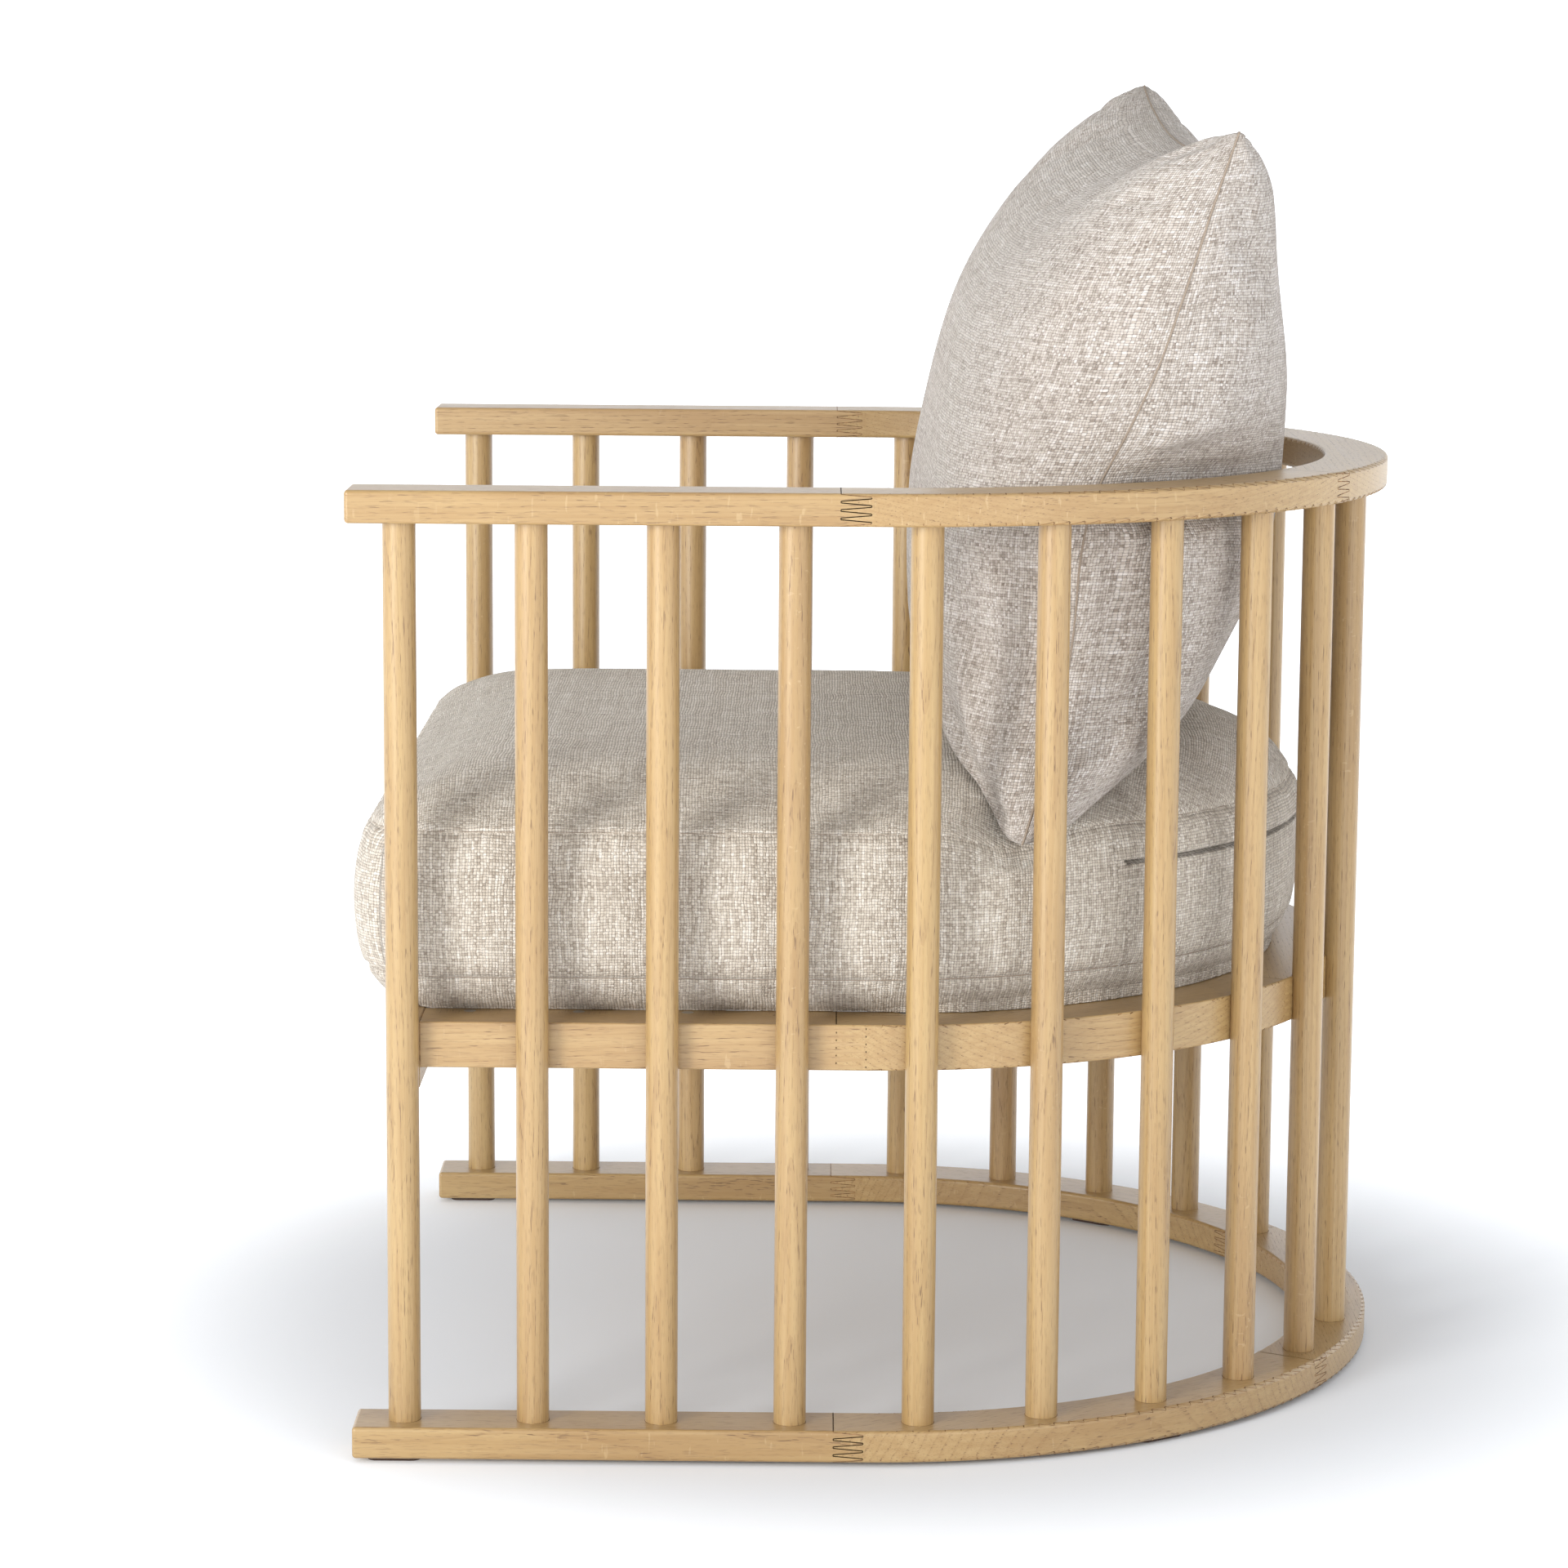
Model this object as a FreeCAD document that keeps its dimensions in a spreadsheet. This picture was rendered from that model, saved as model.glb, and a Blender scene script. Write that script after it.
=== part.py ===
"""A wooden tub armchair: two U-shaped rails joined by a palisade of round spindles, a slatted
seat frame inside the spindles, a boxed seat cushion and a loose back pillow.

Frame: millimetres, +Z up, the sitter faces -Y, origin on the floor under the middle of the
bounding box. Both arms run straight back along Y and meet in a half circle behind the sitter.
"""
import FreeCAD, Part
import math
import os
import Sketcher

V = FreeCAD.Vector
UP = V(0, 0, 1)

DIMENSIONS = {
    # plan: the centreline of spindles and rails
    "ArcRadius": 356, "ArcCentreY": -16.5, "ArmFrontY": -362.5, "FirstSpindleY": -328.5,
    # rails
    "RailWidth": 46, "RailThick": 22, "RailRound": 2.6, "TopRailZ": 637, "PadThick": 3,
    "FingerLength": 20, "FingerPitch": 5.2, "ArmJointBack": 11,
    # spindles
    "SpindleDia": 22, "SocketDepth": 14, "SpindleChamfer": 1.2,
    # seat frame
    "SeatTopZ": 298.5, "SeatRailTall": 31.5, "SeatHalfWidth": 348, "SeatRailWide": 46,
    "SeatRound": 1.4, "FrontRailTall": 45.5, "FrontRailThick": 22, "FrontRailLength": 696,
    # slats
    "SlatWide": 50, "SlatThick": 14, "SlatPitch": 74, "FirstSlatY": -286.5, "SlatHousing": 18,
    "SlatRound": 2,
    # fasteners
    "ScrewRadius": 2.2, "ScrewHeadRadius": 4.2, "ScrewHeadTall": 3, "FrameScrewLength": 34,
    "FrameScrewSink": 20, "SlatScrewLength": 24, "DowelRadius": 4, "DowelLength": 40,
    "DowelInset": 23, "FrontScrewRise": 9,
    # floor pads
    "PadLength": 36, "PadWide": 32, "PadCorner": 6, "FrontPadY": -335,
    # seat cushion
    "CushionHalfWidth": 332, "CushionFrontY": -361.5, "CushionArcY": -28.5,
    "CushionFrontCorner": 55, "CushionZ": 299, "CushionTall": 166, "CushionLowRound": 22,
    "CushionTopRound": 40, "CoverThick": 6,
    # zip in the back of the cushion's boxing
    "ZipZ": 403, "ZipTall": 8, "ZipDeep": 5, "ZipTapeThick": 1, "ZipStart": 35,
    "ZipSweep": 110, "SliderTall": 6.4, "SliderGap": 0.3, "SliderSweep": 2.4,
    # back pillow
    "PillowWidth": 606, "PillowHeight": 498, "PillowThick": 240, "PillowFace": 0.45,
    "PillowY": 151.5, "PillowZ": 668, "PillowLean": 17.2, "PillowYaw": 2, "PillowRoll": 2.8,
    "PillowCorner": 70, "PillowSkin": 5, "PillowGap": 0.6, "PillowRailGap": 1.2,
}
SPINDLES = 21
SLATS = 8
ARC_JOINTS = (60, 120)
PILLOW_STEPS = 4

doc = FreeCAD.newDocument("tub_armchair")
sheet = doc.addObject("Spreadsheet::Sheet", "Dims")
for row, (alias, value) in enumerate(DIMENSIONS.items(), start=1):
    sheet.set(f"A{row}", alias)
    sheet.set(f"B{row}", str(value))
    sheet.setAlias(f"B{row}", alias)
doc.recompute()

PITCH = "((Dims.ArcCentreY - Dims.FirstSpindleY + pi * Dims.ArcRadius / 2) / 10)"
subparts = []


def dim(alias):
    """The sheet's value, as a plain number."""
    return float(sheet.get(alias))


def bind(obj, **expressions):
    for prop, expression in expressions.items():
        obj.setExpression(prop.replace("__", "."), expression)
    return obj


def bind_base(obj, x="0", y="0", z="0"):
    """Binds the three coordinates of an object's place."""
    return bind(obj, Placement__Base__x=x, Placement__Base__y=y, Placement__Base__z=z)


def keep(obj, label):
    """Makes obj one of the sub-parts, under the name that its file gets."""
    obj.Label = label
    subparts.append(obj)
    return obj


def new_body(name):
    return doc.addObject("PartDesign::Body", name)


def plane(body, role):
    return next(f for f in body.Origin.OriginFeatures if f.Role == role)


def new_sketch(body, name, role="XY_Plane"):
    sketch = body.newObject("Sketcher::SketchObject", name)
    sketch.AttachmentSupport = [(plane(body, role), "")]
    sketch.MapMode = "FlatFace"
    return sketch


def constrain(sketch, *constraints):
    for c in constraints:
        sketch.addConstraint(Sketcher.Constraint(*c))


def driven(sketch, name, expression, *constraint):
    """Adds a dimension to a sketch and binds it to the sheet."""
    index = sketch.addConstraint(Sketcher.Constraint(*constraint))
    sketch.renameConstraint(index, name)
    sketch.setExpression(f"Constraints.{name}", expression)


def edges_where(feature, test):
    """Names of the feature's edges whose middle point passes the test."""
    names = []
    for number, edge in enumerate(feature.Shape.Edges, start=1):
        first, last = edge.ParameterRange
        if test(edge.valueAt((first + last) / 2), edge):
            names.append(f"Edge{number}")
    return names


def round_edges(body, feature, alias, test):
    doc.recompute()
    fillet = body.newObject("PartDesign::Fillet", body.Name + "_round")
    fillet.Base = (feature, edges_where(feature, test))
    bind(fillet, Radius=f"Dims.{alias}")
    return fillet


def cut(label, base, tool):
    result = doc.addObject("Part::Cut", label)
    result.Base, result.Tool = base, tool
    return result


def common(label, *shapes):
    result = doc.addObject("Part::MultiCommon", label)
    result.Shapes = list(shapes)
    return result


def group(label, objects):
    result = doc.addObject("Part::Compound", label)
    result.Links = list(objects)
    return result


# ---------------------------------------------------------------- U-shaped rings
def u_outline(sketch, outer, inner, front):
    """Two straight legs and a half circle, of constant width, open towards -Y."""
    big, small, y_front = (float(sheet.evalExpression(e)) for e in (outer, inner, front))
    y_arc = dim("ArcCentreY")
    centre = V(0, y_arc, 0)
    points = [V(big, y_front, 0), V(big, y_arc, 0), V(-big, y_arc, 0), V(-big, y_front, 0),
              V(-small, y_front, 0), V(-small, y_arc, 0), V(small, y_arc, 0),
              V(small, y_front, 0)]
    arcs = {1: big, 5: small}
    for i, (start, end) in enumerate(zip(points, points[1:] + points[:1])):
        if i in arcs:
            circle = Part.Circle(centre, UP, arcs[i])
            sketch.addGeometry(Part.ArcOfCircle(circle, 0, math.pi), False)
        else:
            sketch.addGeometry(Part.LineSegment(start, end), False)
    # (curve, end) pairs that meet; the inner arc runs the other way round
    joins = [(0, 2, 1, 1), (1, 2, 2, 1), (2, 2, 3, 1), (3, 2, 4, 1), (4, 2, 5, 2),
             (5, 1, 6, 1), (6, 2, 7, 1), (7, 2, 0, 1)]
    constrain(sketch, *[("Coincident", *j) for j in joins])
    constrain(sketch, *[("Vertical", i) for i in (0, 2, 4, 6)])
    constrain(sketch, ("Horizontal", 3), ("Horizontal", 7), ("Horizontal", 0, 1, 2, 2))
    constrain(sketch, ("Horizontal", 1, 1, 1, 3), ("Horizontal", 1, 2, 1, 3))
    constrain(sketch, ("Horizontal", 5, 1, 1, 3), ("Coincident", 5, 3, 1, 3))
    constrain(sketch, ("PointOnObject", 1, 3, -2))
    driven(sketch, "arc_centre", "Dims.ArcCentreY", "DistanceY", 1, 3, y_arc)
    driven(sketch, "outer_radius", outer, "Radius", 1, big)
    driven(sketch, "inner_radius", inner, "Radius", 5, small)
    driven(sketch, "front_end", front, "DistanceY", 0, 1, y_front)


def u_ring(name, outer, inner, front, height, z, rounding, round_test):
    """A U-shaped ring, square in section, with its chosen edges rounded."""
    body = new_body(name)
    sketch = new_sketch(body, name + "_plan")
    u_outline(sketch, outer, inner, front)
    pad = body.newObject("PartDesign::Pad", name + "_pad")
    pad.Profile = sketch
    bind(pad, Length=height)
    round_edges(body, pad, rounding, round_test)
    bind_base(body, z=z)
    return body


def finger_block(name, place, z, height):
    """Everything on one side of a finger joint: a block that ends in a zigzag of fingers.
    It reaches forward along the block's own +X; place puts its zigzag on the rail."""
    reach, side = 2 * dim("ArcRadius") + 100, dim("ArcRadius") + 60
    half, count = dim("FingerLength") / 2, max(1, round(height / dim("FingerPitch")))
    pitch, tip = height / count, 0.1 * height / count
    points = []
    for k in range(-1, count + 2):
        low, high = z + k * pitch, z + (k + 0.5) * pitch
        points += [V(-half, 0, low - tip), V(-half, 0, low + tip)]
        points += [V(half, 0, high - tip), V(half, 0, high + tip)]
    points += [V(reach, 0, points[-1].z), V(reach, 0, points[0].z)]
    face = Part.Face(Part.makePolygon(points + points[:1]))
    block = doc.addObject("Part::Feature", name)
    block.Shape = face.extrude(V(0, 2 * side, 0))
    middle = FreeCAD.Placement(V(0, -side, 0), FreeCAD.Rotation())
    block.Placement = place.multiply(middle)
    return block


def split_ring(ring, names, z, height):
    """Cuts a U-shaped ring into two arms and three curved pieces with fingered ends."""
    label = ring.Name
    centre = V(0, dim("ArcCentreY"), 0)
    arm_end = centre - V(0, dim("ArmJointBack"), 0)
    behind = finger_block(label + "_behind_arms",
                          FreeCAD.Placement(arm_end, FreeCAD.Rotation(UP, 90)), z, height)
    after = [finger_block(f"{label}_after_{angle}",
                          FreeCAD.Placement(centre, FreeCAD.Rotation(UP, 90 + angle)), z, height)
             for angle in ARC_JOINTS]
    right = doc.addObject("Part::Box", label + "_right_half")
    bind(right, Length="2 * Dims.ArcRadius", Width="6 * Dims.ArcRadius", Height="2000")
    bind_base(right, y="-3 * Dims.ArcRadius")
    arms = cut(label + "_arms", ring, behind)
    bend = common(label + "_bend", ring, behind)
    keep(common(names[0], arms, right), names[0])
    keep(cut(names[1], bend, after[0]), names[1])
    keep(cut(names[2], common(label + "_mid", bend, after[0]), after[1]), names[2])
    keep(common(names[3], bend, after[1]), names[3])
    keep(cut(names[4], arms, right), names[4])


# ---------------------------------------------------------------- spindles
def spindle_place(index):
    """Expressions for a spindle's centre and its outward direction in degrees. Spindles are
    numbered from the right front round the back to the left front, evenly along the rail."""
    middle = (SPINDLES - 1) // 2
    side = 1 if index <= middle else -1
    steps = min(index, SPINDLES - 1 - index)
    along = f"{steps} * {PITCH}"
    straight = dim("ArcCentreY") - dim("FirstSpindleY")
    pitch = (straight + math.pi * dim("ArcRadius") / 2) / middle
    if steps * pitch <= straight:
        x, y = f"{side} * Dims.ArcRadius", f"Dims.FirstSpindleY + {along}"
        return x, y, 0 if side > 0 else 180
    turn = f"(({along} - Dims.ArcCentreY + Dims.FirstSpindleY) / Dims.ArcRadius * 180 / pi)"
    x = f"{side} * Dims.ArcRadius * cos({turn} * 1 deg)"
    y = f"Dims.ArcCentreY + Dims.ArcRadius * sin({turn} * 1 deg)"
    angle = math.degrees((steps * pitch - straight) / dim("ArcRadius"))
    return x, y, angle if side > 0 else 180 - angle


def spindle_blank(index):
    body = new_body(f"spindle_blank_{index + 1:02d}")
    rod = body.newObject("PartDesign::AdditiveCylinder", body.Name + "_rod")
    bind(rod, Radius="Dims.SpindleDia / 2",
         Height="Dims.TopRailZ - Dims.PadThick - Dims.RailThick + 2 * Dims.SocketDepth")
    doc.recompute()
    chamfer = body.newObject("PartDesign::Chamfer", body.Name + "_ends")
    chamfer.Base = (rod, edges_where(rod, lambda p, e: "Circle" in e.Curve.TypeId))
    bind(chamfer, Size="Dims.SpindleChamfer")
    x, y, _ = spindle_place(index)
    bind_base(body, x, y, "Dims.PadThick + Dims.RailThick - Dims.SocketDepth")
    return body


# ---------------------------------------------------------------- fasteners
def screw(name, length, place):
    """A screw along its own +Z, its head's face at the origin, then turned into place."""
    shank = doc.addObject("Part::Cylinder", name + "_shank")
    bind(shank, Radius="Dims.ScrewRadius", Height=length)
    head = doc.addObject("Part::Cone", name + "_head")
    bind(head, Radius1="Dims.ScrewHeadRadius", Radius2="Dims.ScrewRadius",
         Height="Dims.ScrewHeadTall")
    whole = doc.addObject("Part::MultiFuse", name)
    whole.Shapes = [shank, head]
    whole.Placement = place
    return whole


def frame_screw_place(index):
    """Level, from a counterbore inside the seat rail out into the spindle. The two at the
    front pass below the dowels."""
    _, _, degrees = spindle_place(index)
    outward = FreeCAD.Rotation(UP, degrees).multVec(V(1, 0, 0))
    spindle = blanks[index].Placement.Base
    inner_face = dim("ArcRadius") - dim("SeatHalfWidth") + dim("SeatRailWide")
    start = spindle - outward * (inner_face - dim("FrameScrewSink"))
    height = dim("SeatTopZ") - dim("SeatRailTall") / 2 - 3
    if index in (0, SPINDLES - 1):
        height = dim("SeatTopZ") - dim("FrontRailTall") + dim("FrontScrewRise")
    turn = FreeCAD.Rotation(UP, outward)
    return FreeCAD.Placement(V(start.x, start.y, height), turn)


def counterbore(name, place):
    """The hole that a frame screw's head is driven down."""
    hole = doc.addObject("Part::Cylinder", name)
    bind(hole, Radius="Dims.ScrewHeadRadius + 0.5", Height="Dims.FrameScrewSink + 4")
    back = FreeCAD.Placement(V(0, 0, -dim("FrameScrewSink") - 4), FreeCAD.Rotation())
    hole.Placement = place.multiply(back)
    return hole


# ---------------------------------------------------------------- seat frame
def front_rail():
    body = new_body("front_rail_board")
    board = body.newObject("PartDesign::AdditiveBox", "front_rail_block")
    bind(board, Length="Dims.FrontRailLength", Width="Dims.FrontRailThick",
         Height="Dims.FrontRailTall")
    round_edges(body, board, "SeatRound",
                lambda p, e: abs(p.x - dim("FrontRailLength") / 2) < 1)
    bind_base(body, "-Dims.FrontRailLength / 2", "Dims.FirstSpindleY - Dims.FrontRailThick / 2",
              "Dims.SeatTopZ - Dims.FrontRailTall")
    return body


def slat_half_length(index):
    """Half the clear width between the seat rails at the slat's tighter edge, plus the
    length that is let into the rail at each end. Returned as an expression."""
    y = dim("FirstSlatY") + index * dim("SlatPitch")
    inner = "(Dims.SeatHalfWidth - Dims.SeatRailWide)"
    if y + dim("SlatWide") / 2 <= dim("ArcCentreY"):
        return f"({inner} + Dims.SlatHousing)"
    edge = (f"(Dims.FirstSlatY + {index} * Dims.SlatPitch + Dims.SlatWide / 2"
            " - Dims.ArcCentreY)")
    return f"(sqrt({inner} * {inner} - {edge} * {edge}) + Dims.SlatHousing)"


def slat(index):
    body = new_body(f"slat_board_{index + 1}")
    board = body.newObject("PartDesign::AdditiveBox", body.Name + "_block")
    half = slat_half_length(index)
    bind(board, Length=f"2 * {half}", Width="Dims.SlatWide", Height="Dims.SlatThick")
    middle = float(sheet.evalExpression(half))
    round_edges(body, board, "SlatRound",
                lambda p, e: abs(p.x - middle) < 1 and p.z > dim("SlatThick") - 0.1)
    bind_base(body, f"-{half}", f"Dims.FirstSlatY + {index} * Dims.SlatPitch - Dims.SlatWide / 2",
              "Dims.SeatTopZ - Dims.SlatThick")
    return body


def slat_screw_place(index, side):
    half = float(sheet.evalExpression(slat_half_length(index)))
    x = side * (half - dim("SlatHousing") / 2)
    y = dim("FirstSlatY") + index * dim("SlatPitch")
    return FreeCAD.Placement(V(x, y, dim("SeatTopZ")), FreeCAD.Rotation(V(1, 0, 0), 180))


def dowel(name, side, z):
    rod = doc.addObject("Part::Cylinder", name)
    bind(rod, Radius="Dims.DowelRadius", Height="Dims.DowelLength")
    rod.Placement.Rotation = FreeCAD.Rotation(V(1, 0, 0), -90)
    bind_base(rod, f"{side} * (Dims.SeatHalfWidth - Dims.DowelInset)",
              "Dims.FirstSpindleY - Dims.DowelLength / 2 + Dims.FrontRailThick / 2", z)
    return rod


# ---------------------------------------------------------------- floor pads
def floor_pad(label, place):
    body = new_body(label)
    felt = body.newObject("PartDesign::AdditiveBox", label + "_felt")
    bind(felt, Length="Dims.PadWide", Width="Dims.PadLength", Height="Dims.PadThick")
    round_edges(body, felt, "PadCorner", lambda p, e: abs(p.z - dim("PadThick") / 2) < 0.1)
    middle = FreeCAD.Placement(V(-dim("PadWide") / 2, -dim("PadLength") / 2, 0),
                               FreeCAD.Rotation())
    body.Placement = place.multiply(middle)
    return body


def rear_pad_place(index):
    _, _, degrees = spindle_place(index)
    spindle = blanks[index].Placement.Base
    return FreeCAD.Placement(V(spindle.x, spindle.y, 0), FreeCAD.Rotation(UP, degrees))


# ---------------------------------------------------------------- seat cushion
def d_outline(sketch, inset):
    """The cushion's plan: two straight sides, a half-round back and rounded front corners."""
    half = dim("CushionHalfWidth") - inset
    front, arc_y = dim("CushionFrontY") + inset, dim("CushionArcY")
    corner = dim("CushionFrontCorner") - inset
    less = "" if inset == 0 else " - Dims.CoverThick"
    more = less.replace("-", "+")
    quarter = math.pi / 2
    sketch.addGeometry(Part.LineSegment(V(half, front + corner, 0), V(half, arc_y, 0)))
    back = Part.Circle(V(0, arc_y, 0), UP, half)
    sketch.addGeometry(Part.ArcOfCircle(back, 0, math.pi))
    sketch.addGeometry(Part.LineSegment(V(-half, arc_y, 0), V(-half, front + corner, 0)))
    left = Part.Circle(V(-half + corner, front + corner, 0), UP, corner)
    sketch.addGeometry(Part.ArcOfCircle(left, 2 * quarter, 3 * quarter))
    sketch.addGeometry(Part.LineSegment(V(-half + corner, front, 0),
                                        V(half - corner, front, 0)))
    right = Part.Circle(V(half - corner, front + corner, 0), UP, corner)
    sketch.addGeometry(Part.ArcOfCircle(right, 3 * quarter, 4 * quarter))
    joins = [(0, 2, 1, 1), (1, 2, 2, 1), (2, 2, 3, 1), (3, 2, 4, 1), (4, 2, 5, 1), (5, 2, 0, 1)]
    constrain(sketch, *[("Tangent", *j) for j in joins])
    constrain(sketch, ("PointOnObject", 1, 3, -2), ("Horizontal", 4), ("Equal", 3, 5))
    driven(sketch, "arc_centre", "Dims.CushionArcY", "DistanceY", 1, 3, arc_y)
    driven(sketch, "half_width", f"Dims.CushionHalfWidth{less}", "Radius", 1, half)
    driven(sketch, "corner", f"Dims.CushionFrontCorner{less}", "Radius", 3, corner)
    driven(sketch, "front", f"Dims.CushionFrontY{more}", "DistanceY", 4, 1, front)


def cushion_body(name, inset):
    """A boxed cushion's solid, smaller all round by inset."""
    body = new_body(name)
    sketch = new_sketch(body, name + "_plan")
    d_outline(sketch, inset)
    pad = body.newObject("PartDesign::Pad", name + "_pad")
    pad.Profile = sketch
    shrink = "" if inset == 0 else " - 2 * Dims.CoverThick"
    bind(pad, Length=f"Dims.CushionTall{shrink}")
    tall = dim("CushionTall") - 2 * inset
    doc.recompute()
    low = body.newObject("PartDesign::Fillet", name + "_low_round")
    low.Base = (pad, edges_where(pad, lambda p, e: p.z < 0.1))
    less = "" if inset == 0 else " - Dims.CoverThick"
    bind(low, Radius=f"Dims.CushionLowRound{less}")
    doc.recompute()
    top = body.newObject("PartDesign::Fillet", name + "_top_round")
    top.Base = (low, edges_where(low, lambda p, e: p.z > tall - 0.1))
    bind(top, Radius=f"Dims.CushionTopRound{less}")
    bind_base(body, z="Dims.CushionZ" if inset == 0 else "Dims.CushionZ + Dims.CoverThick")
    return body


def arc_strip(name, inner, outer, low, tall, sweep):
    """A ring sector of rectangular section about the cushion's back, starting on +X."""
    body = new_body(name)
    sketch = new_sketch(body, name + "_section", "XZ_Plane")
    near, far, z, rise = (float(sheet.evalExpression(e)) for e in (inner, outer, low, tall))
    corners = [V(near, z, 0), V(far, z, 0), V(far, z + rise, 0), V(near, z + rise, 0)]
    for start, end in zip(corners, corners[1:] + corners[:1]):
        sketch.addGeometry(Part.LineSegment(start, end))
    constrain(sketch, *[("Coincident", i, 2, (i + 1) % 4, 1) for i in range(4)])
    constrain(sketch, ("Horizontal", 0), ("Horizontal", 2), ("Vertical", 1), ("Vertical", 3))
    driven(sketch, "inner", inner, "DistanceX", 0, 1, near)
    driven(sketch, "outer", outer, "DistanceX", 0, 2, far)
    driven(sketch, "low", low, "DistanceY", 0, 1, z)
    driven(sketch, "rise", tall, "DistanceY", 1, 1, 1, 2, rise)
    turn = body.newObject("PartDesign::Revolution", name + "_turn")
    turn.Profile = sketch
    turn.ReferenceAxis = (sketch, ["V_Axis"])
    bind(turn, Angle=sweep)
    return body


def place_strip(body, start):
    """Turns a strip about the cushion's arc so that it begins at start degrees."""
    body.Placement = FreeCAD.Placement(V(0, dim("CushionArcY"), 0),
                                       FreeCAD.Rotation(UP, start))
    return body


# ---------------------------------------------------------------- back pillow
def pillow_body(name, inset):
    """A knife-edge pillow: widest at its seam, half way through, with a smaller flat face
    on each side. Local X is its width, local Y its height and local Z its thickness."""
    body = new_body(name)
    less = "" if inset == 0 else " - 2 * Dims.PillowSkin"
    thick = f"(Dims.PillowThick{less})"
    levels = [(n / PILLOW_STEPS, f"Dims.PillowFace + (1 - Dims.PillowFace)"
               f" * sqrt(1 - ({n} / {PILLOW_STEPS}) ^ 2)")
              for n in range(-PILLOW_STEPS, PILLOW_STEPS + 1)]
    sketches = []
    for number, (share, scale) in enumerate(levels):
        sketch = new_sketch(body, f"{name}_level_{number}")
        sketch.setExpression("AttachmentOffset.Base.z", f"{share / 2} * {thick}")
        wide = f"(Dims.PillowWidth{less}) * ({scale})"
        tall = f"(Dims.PillowHeight{less}) * ({scale})"
        half_w = float(sheet.evalExpression(wide)) / 2
        half_h = float(sheet.evalExpression(tall)) / 2
        corner = f"Dims.PillowCorner * ({scale})"
        radius = float(sheet.evalExpression(corner))
        rounded_rectangle(sketch, half_w, half_h, radius, wide, tall, corner)
        sketches.append(sketch)
    loft = body.newObject("PartDesign::AdditiveLoft", name + "_loft")
    loft.Profile = sketches[0]
    loft.Sections = sketches[1:]
    loft.Ruled = True
    lean = FreeCAD.Rotation(V(1, 0, 0), 90 - dim("PillowLean"))
    roll = FreeCAD.Rotation(V(0, 1, 0), dim("PillowRoll"))
    yaw = FreeCAD.Rotation(UP, dim("PillowYaw"))
    body.Placement.Rotation = yaw.multiply(roll).multiply(lean)
    bind_base(body, "0", "Dims.PillowY", "Dims.PillowZ")
    return body


def tub_space(name, inset):
    """The room that the rails leave above the seat cushion, smaller all round by inset."""
    half = f"Dims.ArcRadius - Dims.RailWidth / 2 - Dims.PillowRailGap - {inset}"
    floor = f"Dims.CushionZ + Dims.CushionTall + Dims.PillowGap + {inset}"
    bend = doc.addObject("Part::Cylinder", name + "_bend")
    bind(bend, Radius=half, Height="2 * Dims.PillowHeight")
    bind_base(bend, y="Dims.ArcCentreY", z=floor)
    arms = doc.addObject("Part::Box", name + "_arms")
    bind(arms, Length=f"2 * ({half})", Width="Dims.ArcRadius", Height="2 * Dims.PillowHeight")
    bind_base(arms, f"-({half})", "Dims.ArcCentreY - Dims.ArcRadius", floor)
    space = doc.addObject("Part::MultiFuse", name)
    space.Shapes = [bend, arms]
    return space


def rounded_rectangle(sketch, half_w, half_h, radius, wide, tall, corner):
    """Centred on the sketch's origin: four sides and four corner arcs, tangent in turn."""
    quarter = math.pi / 2
    inner_w, inner_h = half_w - radius, half_h - radius
    sides = [(V(inner_w, -half_h, 0), -inner_w, -half_h),
             (V(-half_w, -inner_h, 0), -half_w, inner_h),
             (V(-inner_w, half_h, 0), inner_w, half_h),
             (V(half_w, inner_h, 0), half_w, -inner_h)]
    centres = [V(-inner_w, -inner_h, 0), V(-inner_w, inner_h, 0), V(inner_w, inner_h, 0),
               V(inner_w, -inner_h, 0)]
    starts = (2, 1, 0, 3)
    for (start, x, y), centre, quadrant in zip(sides, centres, starts):
        sketch.addGeometry(Part.LineSegment(start, V(x, y, 0)))
        circle = Part.Circle(centre, UP, radius)
        sketch.addGeometry(Part.ArcOfCircle(circle, quadrant * quarter, (quadrant + 1) * quarter))
    for i in range(4):
        line, arc, following = 2 * i, 2 * i + 1, (2 * i + 2) % 8
        constrain(sketch, ("Tangent", line, 2, arc, 2), ("Tangent", arc, 1, following, 1))
    constrain(sketch, ("Horizontal", 0), ("Horizontal", 4), ("Vertical", 2), ("Vertical", 6))
    constrain(sketch, ("Equal", 1, 3), ("Equal", 3, 5), ("Equal", 5, 7))
    driven(sketch, "corner", corner, "Radius", 1, radius)
    driven(sketch, "right", f"{wide} / 2", "DistanceX", 6, 1, half_w)
    driven(sketch, "left", f"-{wide} / 2", "DistanceX", 2, 1, -half_w)
    driven(sketch, "top", f"{tall} / 2", "DistanceY", 4, 1, half_h)
    driven(sketch, "bottom", f"-{tall} / 2", "DistanceY", 0, 1, -half_h)


def level_behind_front(middle, edge):
    """True for the seat ring's level edges, other than those against the front rail."""
    start, end = edge.valueAt(edge.FirstParameter), edge.valueAt(edge.LastParameter)
    against = dim("FirstSpindleY") + dim("FrontRailThick") / 2
    return middle.y > against + 1 and abs(start.z - end.z) < 0.1


# ================================================================ the chair
blanks = [spindle_blank(i) for i in range(SPINDLES)]
doc.recompute()
all_spindles = group("all_spindles", blanks)

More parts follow.
